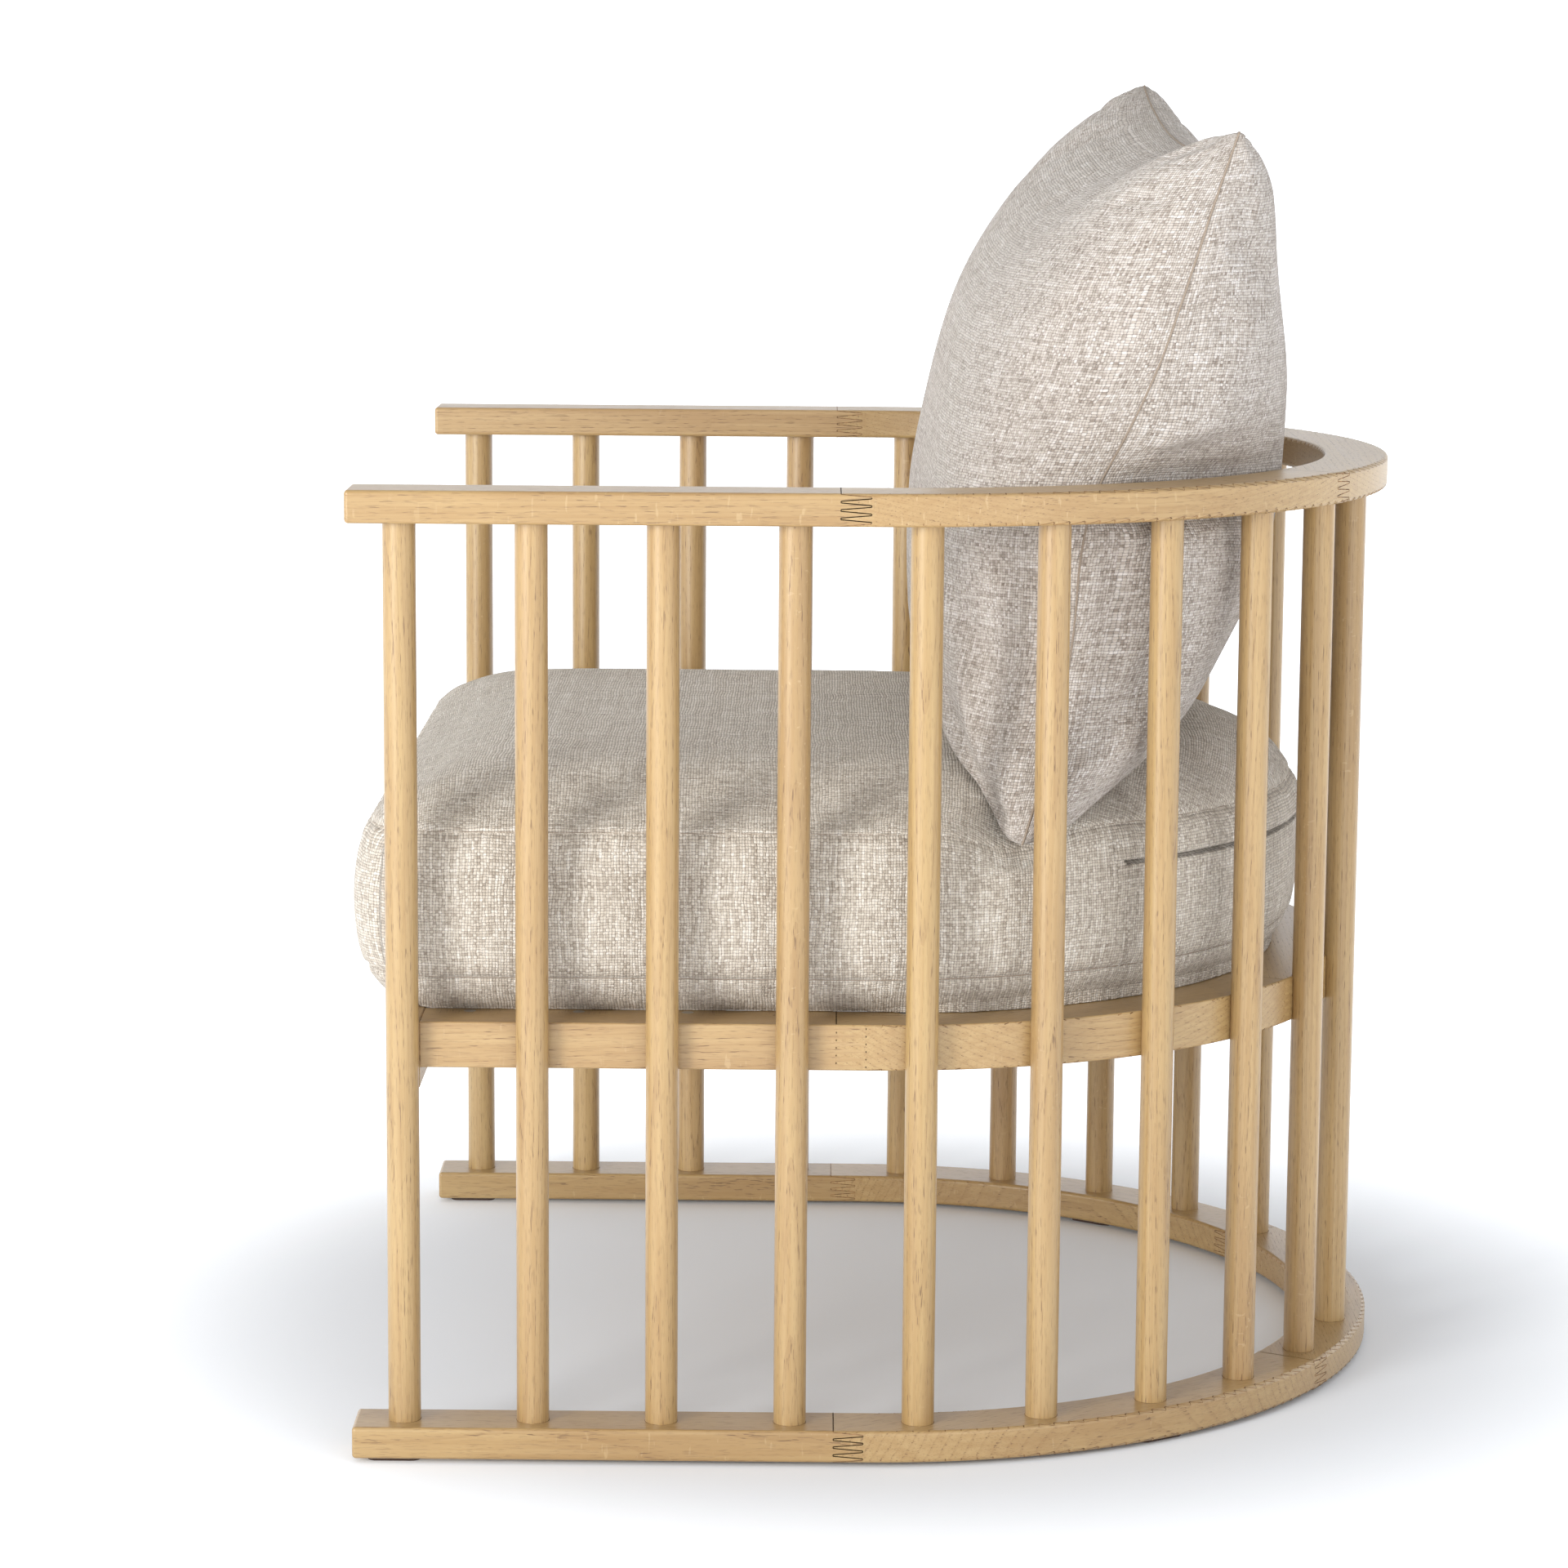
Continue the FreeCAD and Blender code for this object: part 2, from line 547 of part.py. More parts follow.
frame_screws = [screw(f"frame_screw_{i + 1:02d}", "Dims.FrameScrewLength", frame_screw_place(i))
                for i in range(SPINDLES)]
counterbores = [counterbore(f"counterbore_{i + 1:02d}", s.Placement)
                for i, s in enumerate(frame_screws)]
for number, (blank, fixing) in enumerate(zip(blanks, frame_screws), start=1):
    label = f"spindle_{number:02d}"
    keep(cut(label, blank, fixing), label)
keep(group("frame_screws", frame_screws), "frame_screws")

# the two rails, bored for the spindles
rail_sizes = ("Dims.ArcRadius + Dims.RailWidth / 2", "Dims.ArcRadius - Dims.RailWidth / 2",
              "Dims.ArmFrontY", "Dims.RailThick")
for name, z in (("top_rail", "Dims.TopRailZ"), ("base_rail", "Dims.PadThick")):
    blank = u_ring(name + "_blank", *rail_sizes, z, "RailRound", lambda p, e: True)
    bored = cut(name, blank, all_spindles)
    pieces = ("right_arm", "right_curve", "back", "left_curve", "left_arm")
    split_ring(bored, [f"{name}_{piece}" for piece in pieces],
               float(sheet.evalExpression(z)), dim("RailThick"))

# the seat frame, notched round the spindles and housed for the slats
slats = [slat(i) for i in range(SLATS)]
slat_screws = [screw(f"slat_screw_{2 * i + n + 1:02d}", "Dims.SlatScrewLength",
                     slat_screw_place(i, side))
               for i in range(SLATS) for n, side in enumerate((1, -1))]
dowels = [dowel(f"dowel_{n + 1}_{level + 1}", side, f"Dims.SeatTopZ - {share} * Dims.SeatRailTall")
          for n, side in enumerate((1, -1)) for level, share in enumerate((0.3, 0.72))]
doc.recompute()
seat_front = "Dims.FirstSpindleY + Dims.FrontRailThick / 2"
seat_blank = u_ring("seat_rail_blank", "Dims.SeatHalfWidth",
                    "Dims.SeatHalfWidth - Dims.SeatRailWide", seat_front,
                    "Dims.SeatRailTall", "Dims.SeatTopZ - Dims.SeatRailTall", "SeatRound",
                    level_behind_front)
seat_tools = group("seat_rail_tools", blanks + frame_screws + counterbores + slats
                   + slat_screws + dowels)
split_ring(cut("seat_rail", seat_blank, seat_tools),
           ["seat_rail_right", "seat_rail_right_curve", "seat_rail_back",
            "seat_rail_left_curve", "seat_rail_left"],
           dim("SeatTopZ") - dim("SeatRailTall"), dim("SeatRailTall"))
front_tools = group("front_rail_tools", [blanks[0], blanks[-1], frame_screws[0],
                                         frame_screws[-1], counterbores[0],
                                         counterbores[-1]] + dowels)
keep(cut("front_rail", front_rail(), front_tools), "front_rail")
keep(group("front_rail_dowels", dowels), "front_rail_dowels")
for number, board in enumerate(slats):
    label = f"seat_slat_{number + 1}"
    own = group(label + "_screws", slat_screws[2 * number:2 * number + 2])
    keep(cut(label, board, own), label)
keep(group("slat_screws", slat_screws), "slat_screws")

# felt pads under the fronts of both arms and under the back of both sides
for side, word in ((1, "right"), (-1, "left")):
    front = FreeCAD.Placement(V(side * dim("ArcRadius"), dim("FrontPadY"), 0),
                              FreeCAD.Rotation())
    keep(floor_pad(f"floor_pad_front_{word}", front), f"floor_pad_front_{word}")
    rear = rear_pad_place(6 if side > 0 else SPINDLES - 7)
    keep(floor_pad(f"floor_pad_rear_{word}", rear), f"floor_pad_rear_{word}")

# the seat cushion: a cover round a foam core, with a zip let into the back of the boxing
cover = cushion_body("seat_cushion_outside", 0)
core = keep(cushion_body("seat_cushion_core", dim("CoverThick")), "seat_cushion_core")
floor_of_zip = "Dims.CushionHalfWidth - Dims.ZipDeep"
channel = arc_strip("zip_channel", floor_of_zip, "Dims.CushionHalfWidth + 2", "Dims.ZipZ",
                    "Dims.ZipTall", "Dims.ZipSweep")
tape = keep(arc_strip("seat_cushion_zip", floor_of_zip, floor_of_zip + " + Dims.ZipTapeThick",
                      "Dims.ZipZ", "Dims.ZipTall", "Dims.ZipSweep"), "seat_cushion_zip")
slider = keep(arc_strip("zip_slider", floor_of_zip + " + Dims.ZipTapeThick + Dims.SliderGap",
                        "Dims.CushionHalfWidth - Dims.SliderGap",
                        "Dims.ZipZ + (Dims.ZipTall - Dims.SliderTall) / 2", "Dims.SliderTall",
                        "Dims.SliderSweep"), "zip_slider")
doc.recompute()
zip_end = dim("ZipStart") + dim("ZipSweep")
for strip in (channel, tape):
    place_strip(strip, dim("ZipStart"))
place_strip(slider, zip_end - 2 * dim("SliderSweep"))
hollow = group("seat_cushion_hollow", [core, channel])
keep(cut("seat_cushion_cover", cover, hollow), "seat_cushion_cover")

# the back pillow: a cover round a filled insert
insert = common("back_pillow_insert", pillow_body("back_pillow_filling", dim("PillowSkin")),
                tub_space("insert_space", dim("PillowSkin")))
pillow = common("back_pillow_outside", pillow_body("back_pillow_lens", 0),
                tub_space("pillow_space", 0))
keep(insert, "back_pillow_insert")
keep(cut("back_pillow_cover", pillow, insert), "back_pillow_cover")

doc.recompute()
for obj in doc.Objects:
    if {"Invalid", "Error"} & set(obj.State):
        raise RuntimeError(f"{obj.Label} failed: {obj.State}")
os.makedirs("parts", exist_ok=True)
for obj in subparts:
    shape = obj.Shape
    if shape.isNull() or not shape.isValid() or not shape.Solids:
        raise RuntimeError(f"{obj.Label} has no valid solid")
    shape.exportStep(f"parts/{obj.Label}.step")
    box = shape.BoundBox
    print(f"{obj.Label:26s} solids {len(shape.Solids):2d}  volume {shape.Volume / 1000:9.2f} cm3"
          f"  z {box.ZMin:7.1f}..{box.ZMax:7.1f}")
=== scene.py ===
"""Looks of the wooden tub armchair: oiled oak, woven cushions, felt pads, studio light."""
import math

import bpy
import numpy as np
from mathutils import Matrix, Vector
from mathutils.bvhtree import BVHTree


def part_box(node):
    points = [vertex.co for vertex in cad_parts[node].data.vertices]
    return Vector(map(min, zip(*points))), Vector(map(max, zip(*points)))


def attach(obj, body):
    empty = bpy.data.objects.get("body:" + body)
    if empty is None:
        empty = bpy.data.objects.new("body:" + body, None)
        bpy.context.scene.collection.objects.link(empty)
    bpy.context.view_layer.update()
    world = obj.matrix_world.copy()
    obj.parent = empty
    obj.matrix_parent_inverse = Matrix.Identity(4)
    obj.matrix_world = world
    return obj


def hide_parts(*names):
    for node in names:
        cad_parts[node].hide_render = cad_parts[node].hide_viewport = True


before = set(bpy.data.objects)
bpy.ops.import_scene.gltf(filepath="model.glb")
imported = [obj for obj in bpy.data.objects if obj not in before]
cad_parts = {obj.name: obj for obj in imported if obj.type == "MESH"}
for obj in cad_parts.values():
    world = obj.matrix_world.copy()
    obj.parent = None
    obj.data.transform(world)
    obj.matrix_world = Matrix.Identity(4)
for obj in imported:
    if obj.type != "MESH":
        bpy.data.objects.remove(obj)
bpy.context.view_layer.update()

CUSHION_LOW, CUSHION_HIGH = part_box("seat_cushion_cover")
ARC_Y = -0.0165                 # the centre of the rails' round back
SPINDLE_RADIUS = 0.011
ARC_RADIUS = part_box("spindle_01")[0].x + SPINDLE_RADIUS
RAIL_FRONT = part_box("top_rail_right_arm")[0].y
SCENE = bpy.context.scene


# ---------------------------------------------------------------- helpers for node trees
class Tree:
    """A material's node tree, with short ways to add nodes and link them."""

    def __init__(self, name):
        self.material = bpy.data.materials.new(name)
        self.material.use_nodes = True
        self.nodes = self.material.node_tree.nodes
        self.links = self.material.node_tree.links
        self.shader = self.nodes["Principled BSDF"]

    def put(self, socket, value):
        """Links an output, or sets a plain value, on an input socket."""
        if isinstance(value, bpy.types.NodeSocket):
            self.links.new(value, socket)
        elif value is not None:
            socket.default_value = value

    def math(self, operation, a, b=None):
        node = self.nodes.new("ShaderNodeMath")
        node.operation = operation
        for socket, value in zip(node.inputs, (a, b)):
            self.put(socket, value)
        return node.outputs[0]

    def weighted(self, *terms):
        """The sum of some values, each with its weight."""
        total = None
        for value, weight in terms:
            term = self.math("MULTIPLY", value, weight)
            total = term if total is None else self.math("ADD", total, term)
        return total

    def vector(self, operation, a, b=None, scale=None):
        node = self.nodes.new("ShaderNodeVectorMath")
        node.operation = operation
        self.put(node.inputs[0], a)
        if b is not None:
            self.put(node.inputs[1], b)
        if scale is not None:
            self.put(node.inputs["Scale"], scale)
        return node.outputs["Value" if operation in ("LENGTH", "DOT_PRODUCT") else "Vector"]

    def combine(self, x, y, z):
        node = self.nodes.new("ShaderNodeCombineXYZ")
        for socket, value in zip(node.inputs, (x, y, z)):
            self.put(socket, value)
        return node.outputs[0]

    def split(self, vector):
        node = self.nodes.new("ShaderNodeSeparateXYZ")
        self.put(node.inputs[0], vector)
        return node.outputs

    def attribute(self, name):
        node = self.nodes.new("ShaderNodeAttribute")
        node.attribute_name = name
        return node.outputs["Vector"]

    def position(self):
        return self.nodes.new("ShaderNodeTexCoord").outputs["Object"]

    def noise(self, vector, scale, detail=3.0, rough=0.5, distortion=0.0):
        """Noise; its outputs are a value and a colour."""
        node = self.nodes.new("ShaderNodeTexNoise")
        self.put(node.inputs["Vector"], vector)
        self.put(node.inputs["Scale"], scale)
        self.put(node.inputs["Detail"], detail)
        self.put(node.inputs["Roughness"], rough)
        self.put(node.inputs["Distortion"], distortion)
        return node.outputs

    def white(self, vector):
        """One random value for each whole vector."""
        node = self.nodes.new("ShaderNodeTexWhiteNoise")
        self.put(node.inputs["Vector"], vector)
        return node.outputs[0]

    def ramp(self, value, *stops):
        """A colour ramp; each stop is (place, colour)."""
        node = self.nodes.new("ShaderNodeValToRGB")
        elements = node.color_ramp.elements
        while len(elements) < len(stops):
            elements.new(0.5)
        for element, (place, colour) in zip(elements, stops):
            element.position = place
            element.color = (*colour, 1.0)
        self.put(node.inputs[0], value)
        return node.outputs["Color"]

    def mix(self, share, a, b, blend="MIX"):
        node = self.nodes.new("ShaderNodeMix")
        node.data_type, node.blend_type = "RGBA", blend
        for socket, value in zip((node.inputs[0], node.inputs[6], node.inputs[7]), (share, a, b)):
            if isinstance(value, tuple) and len(value) == 3:
                value = (*value, 1.0)
            self.put(socket, value)
        return node.outputs[2]

    def between(self, value, low, high, new_low=0.0, new_high=1.0):
        """A smooth step from new_low at low to new_high at high."""
        node = self.nodes.new("ShaderNodeMapRange")
        node.interpolation_type = "SMOOTHSTEP"
        for socket, v in zip(node.inputs, (value, low, high, new_low, new_high)):
            self.put(socket, v)
        return node.outputs[0]

    def bump(self, height, distance, strength):
        node = self.nodes.new("ShaderNodeBump")
        node.inputs["Strength"].default_value = strength
        node.inputs["Distance"].default_value = distance
        self.put(node.inputs["Height"], height)
        self.put(self.shader.inputs["Normal"], node.outputs[0])


def linear(red, green, blue):
    """A display colour, 0 to 255, as linear light."""
    def one(v):
        v = v / 255.0
        return v / 12.92 if v <= 0.04045 else ((v + 0.055) / 1.055) ** 2.4
    return (one(red), one(green), one(blue))


# ---------------------------------------------------------------- wood
OAK_PALE = linear(178, 149, 101)
OAK_MID = linear(165, 133, 85)
OAK_DEEP = linear(140, 105, 63)
OAK_PORE = linear(92, 62, 36)
OAK_RAY = linear(190, 164, 122)

# How often each part of the grain repeats in a metre, along the board and across it.
RING_WANDER = (2.2, 9.0)
RING_SWAY = (14.0, 90.0)
PORE_STREAKS = (105.0, 1350.0)
BROAD_STREAKS = (9.0, 260.0)
CLOUDS = (3.0, 18.0)
RINGS = 340.0


def oak(name, along, seed, shade=0.0, figure=1.0):
    """Oiled oak with its grain along one direction. The board is cut from a log whose axis
    lies a little off that direction, so growth rings run out as cathedrals and stripes."""
    t = Tree(name)
    along = Vector(along).normalized()
    side = along.cross(Vector((0.0, 0.0, 1.0)))
    if side.length < 0.1:
        side = Vector((1.0, 0.0, 0.0))
    side.normalize()
    third = along.cross(side)
    rng = np.random.default_rng(seed)
    place = t.position()
    u = t.vector("DOT_PRODUCT", place, tuple(along))
    v = t.vector("DOT_PRODUCT", place, tuple(side))
    w = t.vector("DOT_PRODUCT", place, tuple(third))
    turn = float(rng.uniform(0.0, 2.0 * math.pi))
    reach = float(rng.uniform(0.05, 0.12))

    def grain(pitch, detail, rough=0.5):
        """Noise that is drawn out along the board."""
        return t.noise(t.combine(t.math("MULTIPLY", u, pitch[0]), t.math("MULTIPLY", v, pitch[1]),
                                 t.math("MULTIPLY", w, pitch[1])), 1.0, detail, rough)[0]

    # growth rings round the log's axis, which wanders slowly along the board
    wander = grain(RING_WANDER, 2.0)
    sway = t.math("MULTIPLY", t.math("SUBTRACT", wander, 0.5), 0.016 * figure)
    tilt = float(rng.uniform(-0.03, 0.03))
    ring_v = t.math("ADD", t.math("ADD", v, t.math("MULTIPLY", u, tilt)),
                    t.math("ADD", sway, reach * math.cos(turn)))
    ring_w = t.math("ADD", w, reach * math.sin(turn))
    radius = t.vector("LENGTH", t.combine(ring_v, ring_w, 0.0))
    rings = t.weighted((radius, RINGS), (grain(RING_SWAY, 3.0), 0.55))
    early = t.between(t.math("FRACT", rings), 0.0, 0.34, 1.0, 0.0)
    # pores: fine dark streaks, thickest in the early wood
    pores = t.between(grain(PORE_STREAKS, 1.0), 0.57, 0.68)
    pores = t.math("MULTIPLY", pores, t.math("ADD", t.math("MULTIPLY", early, 0.65), 0.35))
    broad = grain(BROAD_STREAKS, 4.0, 0.6)
    cloud = grain(CLOUDS, 2.0)
    # pale flecks that lie across the grain
    fleck = t.noise(t.combine(t.weighted((u, 320.0), (v, 190.0)), t.math("MULTIPLY", v, 700.0),
                              t.math("MULTIPLY", w, 80.0)), 1.0, 1.0)[0]
    flecks = t.math("MULTIPLY", t.between(fleck, 0.66, 0.74), t.between(cloud, 0.5, 0.66))
    base = t.mix(t.between(broad, 0.25, 0.75), OAK_MID, OAK_PALE)
    base = t.mix(t.math("MULTIPLY", early, 0.30 * figure), base, OAK_DEEP)
    base = t.mix(t.between(cloud, 0.42, 0.72, 0.0, 0.34), base, OAK_DEEP)
    base = t.mix(t.math("MULTIPLY", flecks, 0.4), base, OAK_RAY)
    base = t.mix(t.math("MULTIPLY", pores, 0.72), base, OAK_PORE)
    tone = float(1.0 + shade + rng.uniform(-0.035, 0.035))
    base = t.mix(1.0, base, (tone, tone * float(rng.uniform(0.985, 1.01)),
                             tone * float(rng.uniform(0.965, 1.02))), "MULTIPLY")
    t.put(t.shader.inputs["Base Color"], base)
    rough = t.math("ADD", t.math("MULTIPLY", broad, 0.14), 0.33)
    t.put(t.shader.inputs["Roughness"], t.math("ADD", rough, t.math("MULTIPLY", pores, 0.2)))
    t.shader.inputs["Specular IOR Level"].default_value = 0.55
    t.shader.inputs["Coat Weight"].default_value = 0.40
    t.shader.inputs["Coat Roughness"].default_value = 0.32
    height = t.math("SUBTRACT", t.math("MULTIPLY", broad, 0.25), pores)
    t.bump(height, 0.00012, 0.6)
    return t.material


def give(node, material):
    """Puts a material in every slot of a CAD node."""
    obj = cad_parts[node]
    if not obj.material_slots:
        obj.data.materials.append(material)
    for slot in obj.material_slots:
        slot.link = "OBJECT"
        slot.material = material


def compass(degrees):
    return (math.cos(math.radians(degrees)), math.sin(math.radians(degrees)), 0.0)


RUNS = {"right": (0, 1, 0), "left": (0, 1, 0), "right_curve": compass(120),
        "left_curve": compass(60), "back": (1, 0, 0)}
seed = 11
for ring, straight, shade in (("top_rail", "_arm", 0.0), ("base_rail", "_arm", -0.02),
                              ("seat_rail", "", -0.01)):
    for run, along in RUNS.items():
        seed += 1
        piece = f"{ring}_{run}{straight if run in ('right', 'left') else ''}"
        give(piece, oak(f"oak_{piece}", along, seed, shade))
for number in range(1, 22):
    seed += 1
    give(f"spindle_{number:02d}", oak(f"oak_spindle_{number:02d}", (0, 0, 1), seed))
give("front_rail", oak("oak_front_rail", (1, 0, 0), 71))
for number in range(1, 9):
    give(f"seat_slat_{number}", oak(f"oak_slat_{number}", (1, 0, 0), 80 + number, -0.04))
give("front_rail_dowels", oak("oak_dowels", (0, 1, 0), 95, 0.03, 0.4))


# ---------------------------------------------------------------- helpers for meshes
def smooth(low, high, x):
    """A smooth step: 0 where x is low, 1 where it is high, whichever of them is larger."""
    share = np.clip((x - low) / (high - low), 0.0, 1.0)
    return share * share * (3.0 - 2.0 * share)


def new_object(name, points, faces, material):
    mesh = bpy.data.meshes.new(name)
    mesh.from_pydata([tuple(p) for p in np.asarray(points, float)], [], faces)
    mesh.validate()
    mesh.update()
    obj = bpy.data.objects.new(name, mesh)
    SCENE.collection.objects.link(obj)
    mesh.materials.append(material)
    mesh.shade_smooth()
    return obj


def points_of(obj):
    found = np.empty(len(obj.data.vertices) * 3, np.float32)
    obj.data.vertices.foreach_get("co", found)
    return found.reshape(-1, 3).astype(float)


def put_points(obj, points):
    obj.data.vertices.foreach_set("co", np.asarray(points, np.float32).ravel())
    obj.data.update()


def normals_of(obj):
    found = np.empty(len(obj.data.vertices) * 3, np.float32)
    obj.data.vertex_normals.foreach_get("vector", found)
    return found.reshape(-1, 3).astype(float)


def make_active(obj):
    bpy.ops.object.select_all(action="DESELECT")
    obj.select_set(True)
    bpy.context.view_layer.objects.active = obj


def apply_modifier(obj, kind, **settings):
    make_active(obj)
    modifier = obj.modifiers.new(kind.lower(), kind)
    for name, value in settings.items():
        setattr(modifier, name, value)
    bpy.ops.object.modifier_apply(modifier=modifier.name)


CLOTH_STEPS = 20


def inflate(obj, pinned, pressure, grow, cap):
    """Swells a closed cover with cloth simulation; pinned is each point's hold, 0 to 1. No
    point ends more than cap from where it began."""
    start = points_of(obj)
    holder = obj.vertex_groups.new(name="sewn")
    for index in np.nonzero(pinned > 0.01)[0]:
        holder.add([int(index)], float(pinned[index]), "REPLACE")
    modifier = obj.modifiers.new("cloth", "CLOTH")
    cloth = modifier.settings
    cloth.quality = 6
    cloth.mass = 0.35
    cloth.use_pressure = True
    cloth.uniform_pressure_force = pressure
    cloth.shrink_min = -grow
    cloth.tension_stiffness = cloth.compression_stiffness = 18.0
    cloth.shear_stiffness = 8.0
    cloth.bending_stiffness = 1.2
    cloth.air_damping = 3.0
    cloth.vertex_group_mass = "sewn"
    cloth.pin_stiffness = 1.0
    cloth.effector_weights.gravity = 0.0
    modifier.collision_settings.use_collision = False
    SCENE.frame_start, SCENE.frame_end = 1, CLOTH_STEPS
    modifier.point_cache.frame_start, modifier.point_cache.frame_end = 1, CLOTH_STEPS
    for step in range(1, CLOTH_STEPS + 1):
        SCENE.frame_set(step)
    evaluated = obj.evaluated_get(bpy.context.evaluated_depsgraph_get())
    found = np.empty(len(evaluated.data.vertices) * 3, np.float32)
    evaluated.data.vertices.foreach_get("co", found)
    moved = found.reshape(-1, 3).astype(float) - start
    obj.modifiers.remove(modifier)
    SCENE.frame_set(1)
    length = np.linalg.norm(moved, axis=1)
    share = cap * np.tanh(length / cap) / np.maximum(length, 1e-9)
    put_points(obj, start + moved * share[:, None])


def set_weave(obj, face_coords):
    """Stores weave coordinates, one row for each corner of each face."""
    layer = obj.data.attributes.new("weave", "FLOAT_VECTOR", "CORNER")
    layer.data.foreach_set("vector", np.asarray(face_coords, np.float32).ravel())


def corner_arrays(obj):
    """For each corner of each face: its point, its face's centre and its vertex's number."""
    mesh = obj.data
    corners = np.empty(len(mesh.loops), np.int32)
    mesh.loops.foreach_get("vertex_index", corners)
    totals = np.empty(len(mesh.polygons), np.int32)
    mesh.polygons.foreach_get("loop_total", totals)
    centres = np.empty(len(mesh.polygons) * 3, np.float32)
    mesh.polygons.foreach_get("center", centres)
    return (points_of(obj)[corners], np.repeat(centres.reshape(-1, 3), totals, axis=0),
            corners)


def tube(name, path, radius, material):
    """A thin round cord of mesh along a closed row of points."""
    sides = 6
    path = np.asarray(path, float)
    count = len(path)
    ahead = np.roll(path, -1, axis=0) - np.roll(path, 1, axis=0)
    ahead /= np.linalg.norm(ahead, axis=1)[:, None]
    across = np.cross(ahead, (0.0, 0.0, 1.0))
    weak = np.linalg.norm(across, axis=1) < 0.05
    across[weak] = np.cross(ahead[weak], (0.0, 1.0, 0.0))
    across /= np.linalg.norm(across, axis=1)[:, None]
    over = np.cross(across, ahead)
    angles = np.linspace(0.0, 2.0 * math.pi, sides, endpoint=False)
    points = [path + radius * (math.cos(a) * across + math.sin(a) * over) for a in angles]
    points = np.stack(points, axis=1).reshape(-1, 3)
    faces = []
    for i in range(count):
        j = (i + 1) % count
        for k in range(sides):
            m = (k + 1) % sides
            faces.append((i * sides + k, i * sides + m, j * sides + m, j * sides + k))
    return new_object(name, points, faces, material)


# ---------------------------------------------------------------- glue lines
GLUE_HALF_WIDTH, GLUE_PROUD = 0.00032, 0.00006
ARM_END = 0.03                  # no joint lies nearer than this to the arms' front ends
SHORTEST_EDGE = 0.0003


def glue_lines(name, nodes, material):
    """Fine dark ribbons along the fingered joints' outlines on the rails' faces. An outline
    edge has the joint's own face on one side of it and the rail's surface on the other."""
    points, faces = [], []
    for node in nodes:
        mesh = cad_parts[node].data
        spots = {}
        for face in mesh.polygons:
            ring = [tuple(round(c, 6) for c in mesh.vertices[v].co) for v in face.vertices]
            for start, end in zip(ring, ring[1:] + ring[:1]):
                spots.setdefault(frozenset((start, end)), []).append(face)
        for ends, beside in spots.items():
            if len(beside) != 2 or len(ends) != 2:
                continue
            start, end = (Vector(p) for p in ends)
            middle = (start + end) / 2
            if middle.y > ARC_Y:
                run = Vector((ARC_Y - middle.y, middle.x, 0.0)).normalized()
            else:
                run = Vector((0.0, 1.0, 0.0))
            if middle.y < RAIL_FRONT + ARM_END:
                continue
            # how far each face looks along the rail: a joint's face does, a rail's does not
            facing = [abs(face.normal.dot(run)) for face in beside]
            if max(facing) < 0.08 or min(facing) > 0.06 or max(facing) - min(facing) < 0.04:
                continue
            surface = beside[facing.index(min(facing))].normal
            along = (end - start).normalized()
            if abs(along.dot(run)) > 0.9999 or (end - start).length < SHORTEST_EDGE:
                continue
            side = surface.cross(along) * GLUE_HALF_WIDTH
            lift = surface * GLUE_PROUD
            first = len(points)
            points += [start - side + lift, end - side + lift, end + side + lift,
                       start + side + lift]
            faces.append((first, first + 1, first + 2, first + 3))
    lines = new_object(name, points, faces, material)
    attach(lines, "frame")


def glue(name):
    t = Tree(name)
    mottle = t.noise(t.position(), 260.0, 3.0)[0]
    t.put(t.shader.inputs["Base Color"], t.mix(t.between(mottle, 0.35, 0.65),
                                               linear(98, 70, 42), linear(150, 114, 74)))
    t.shader.inputs["Roughness"].default_value = 0.7
    return t.material


# ---------------------------------------------------------------- steel, felt
def steel(name, tone, rough):
    t = Tree(name)
    lathe = t.noise(t.position(), 900.0, 2.0)[0]
    smear = t.noise(t.position(), 60.0, 3.0)[0]
    t.put(t.shader.inputs["Base Color"],
          t.mix(smear, tuple(c * 0.8 for c in tone), tuple(tone)))
    t.shader.inputs["Metallic"].default_value = 1.0
    t.put(t.shader.inputs["Roughness"], t.math("ADD", t.math("MULTIPLY", lathe, 0.2), rough))
    t.bump(lathe, 0.00005, 0.4)
    return t.material


def felt(name):
    t = Tree(name)
    fibre = t.noise(t.position(), 900.0, 4.0, 0.7, 2.0)[0]
    clump = t.noise(t.position(), 140.0, 3.0)[0]
    colour = t.mix(t.between(fibre, 0.3, 0.7), linear(52, 38, 32), linear(96, 76, 66))
    t.put(t.shader.inputs["Base Color"], t.mix(t.math("MULTIPLY", clump, 0.5), colour,
                                               linear(66, 50, 43)))
    t.shader.inputs["Roughness"].default_value = 0.95
    t.bump(t.math("ADD", fibre, clump), 0.0006, 0.8)
    return t.material


screw_steel = steel("screw_steel", tone=(0.62, 0.60, 0.56), rough=0.28)
give("frame_screws", screw_steel)
give("slat_screws", screw_steel)
pad_felt = felt("pad_felt")
for corner in ("front_right", "front_left", "rear_right", "rear_left"):
    give(f"floor_pad_{corner}", pad_felt)


joint_glue = glue("joint_glue")
for ring in ("top_rail", "base_rail"):
    glue_lines(f"{ring}_glue_lines", [f"{ring}_{piece}" for piece in
                                      ("right_arm", "right_curve", "back", "left_arm")],
               joint_glue)
glue_lines("seat_rail_glue_lines", ["seat_rail_right", "seat_rail_right_curve",
                                    "seat_rail_back", "seat_rail_left"], joint_glue)


# ---------------------------------------------------------------- woven cloth
CLOTH_DARK = linear(148, 134, 119)
CLOTH_MID = linear(214, 204, 190)
CLOTH_PALE = linear(250, 245, 237)


YARN_SHARE = 0.20               # how much of the colour comes from each yarn's own tone


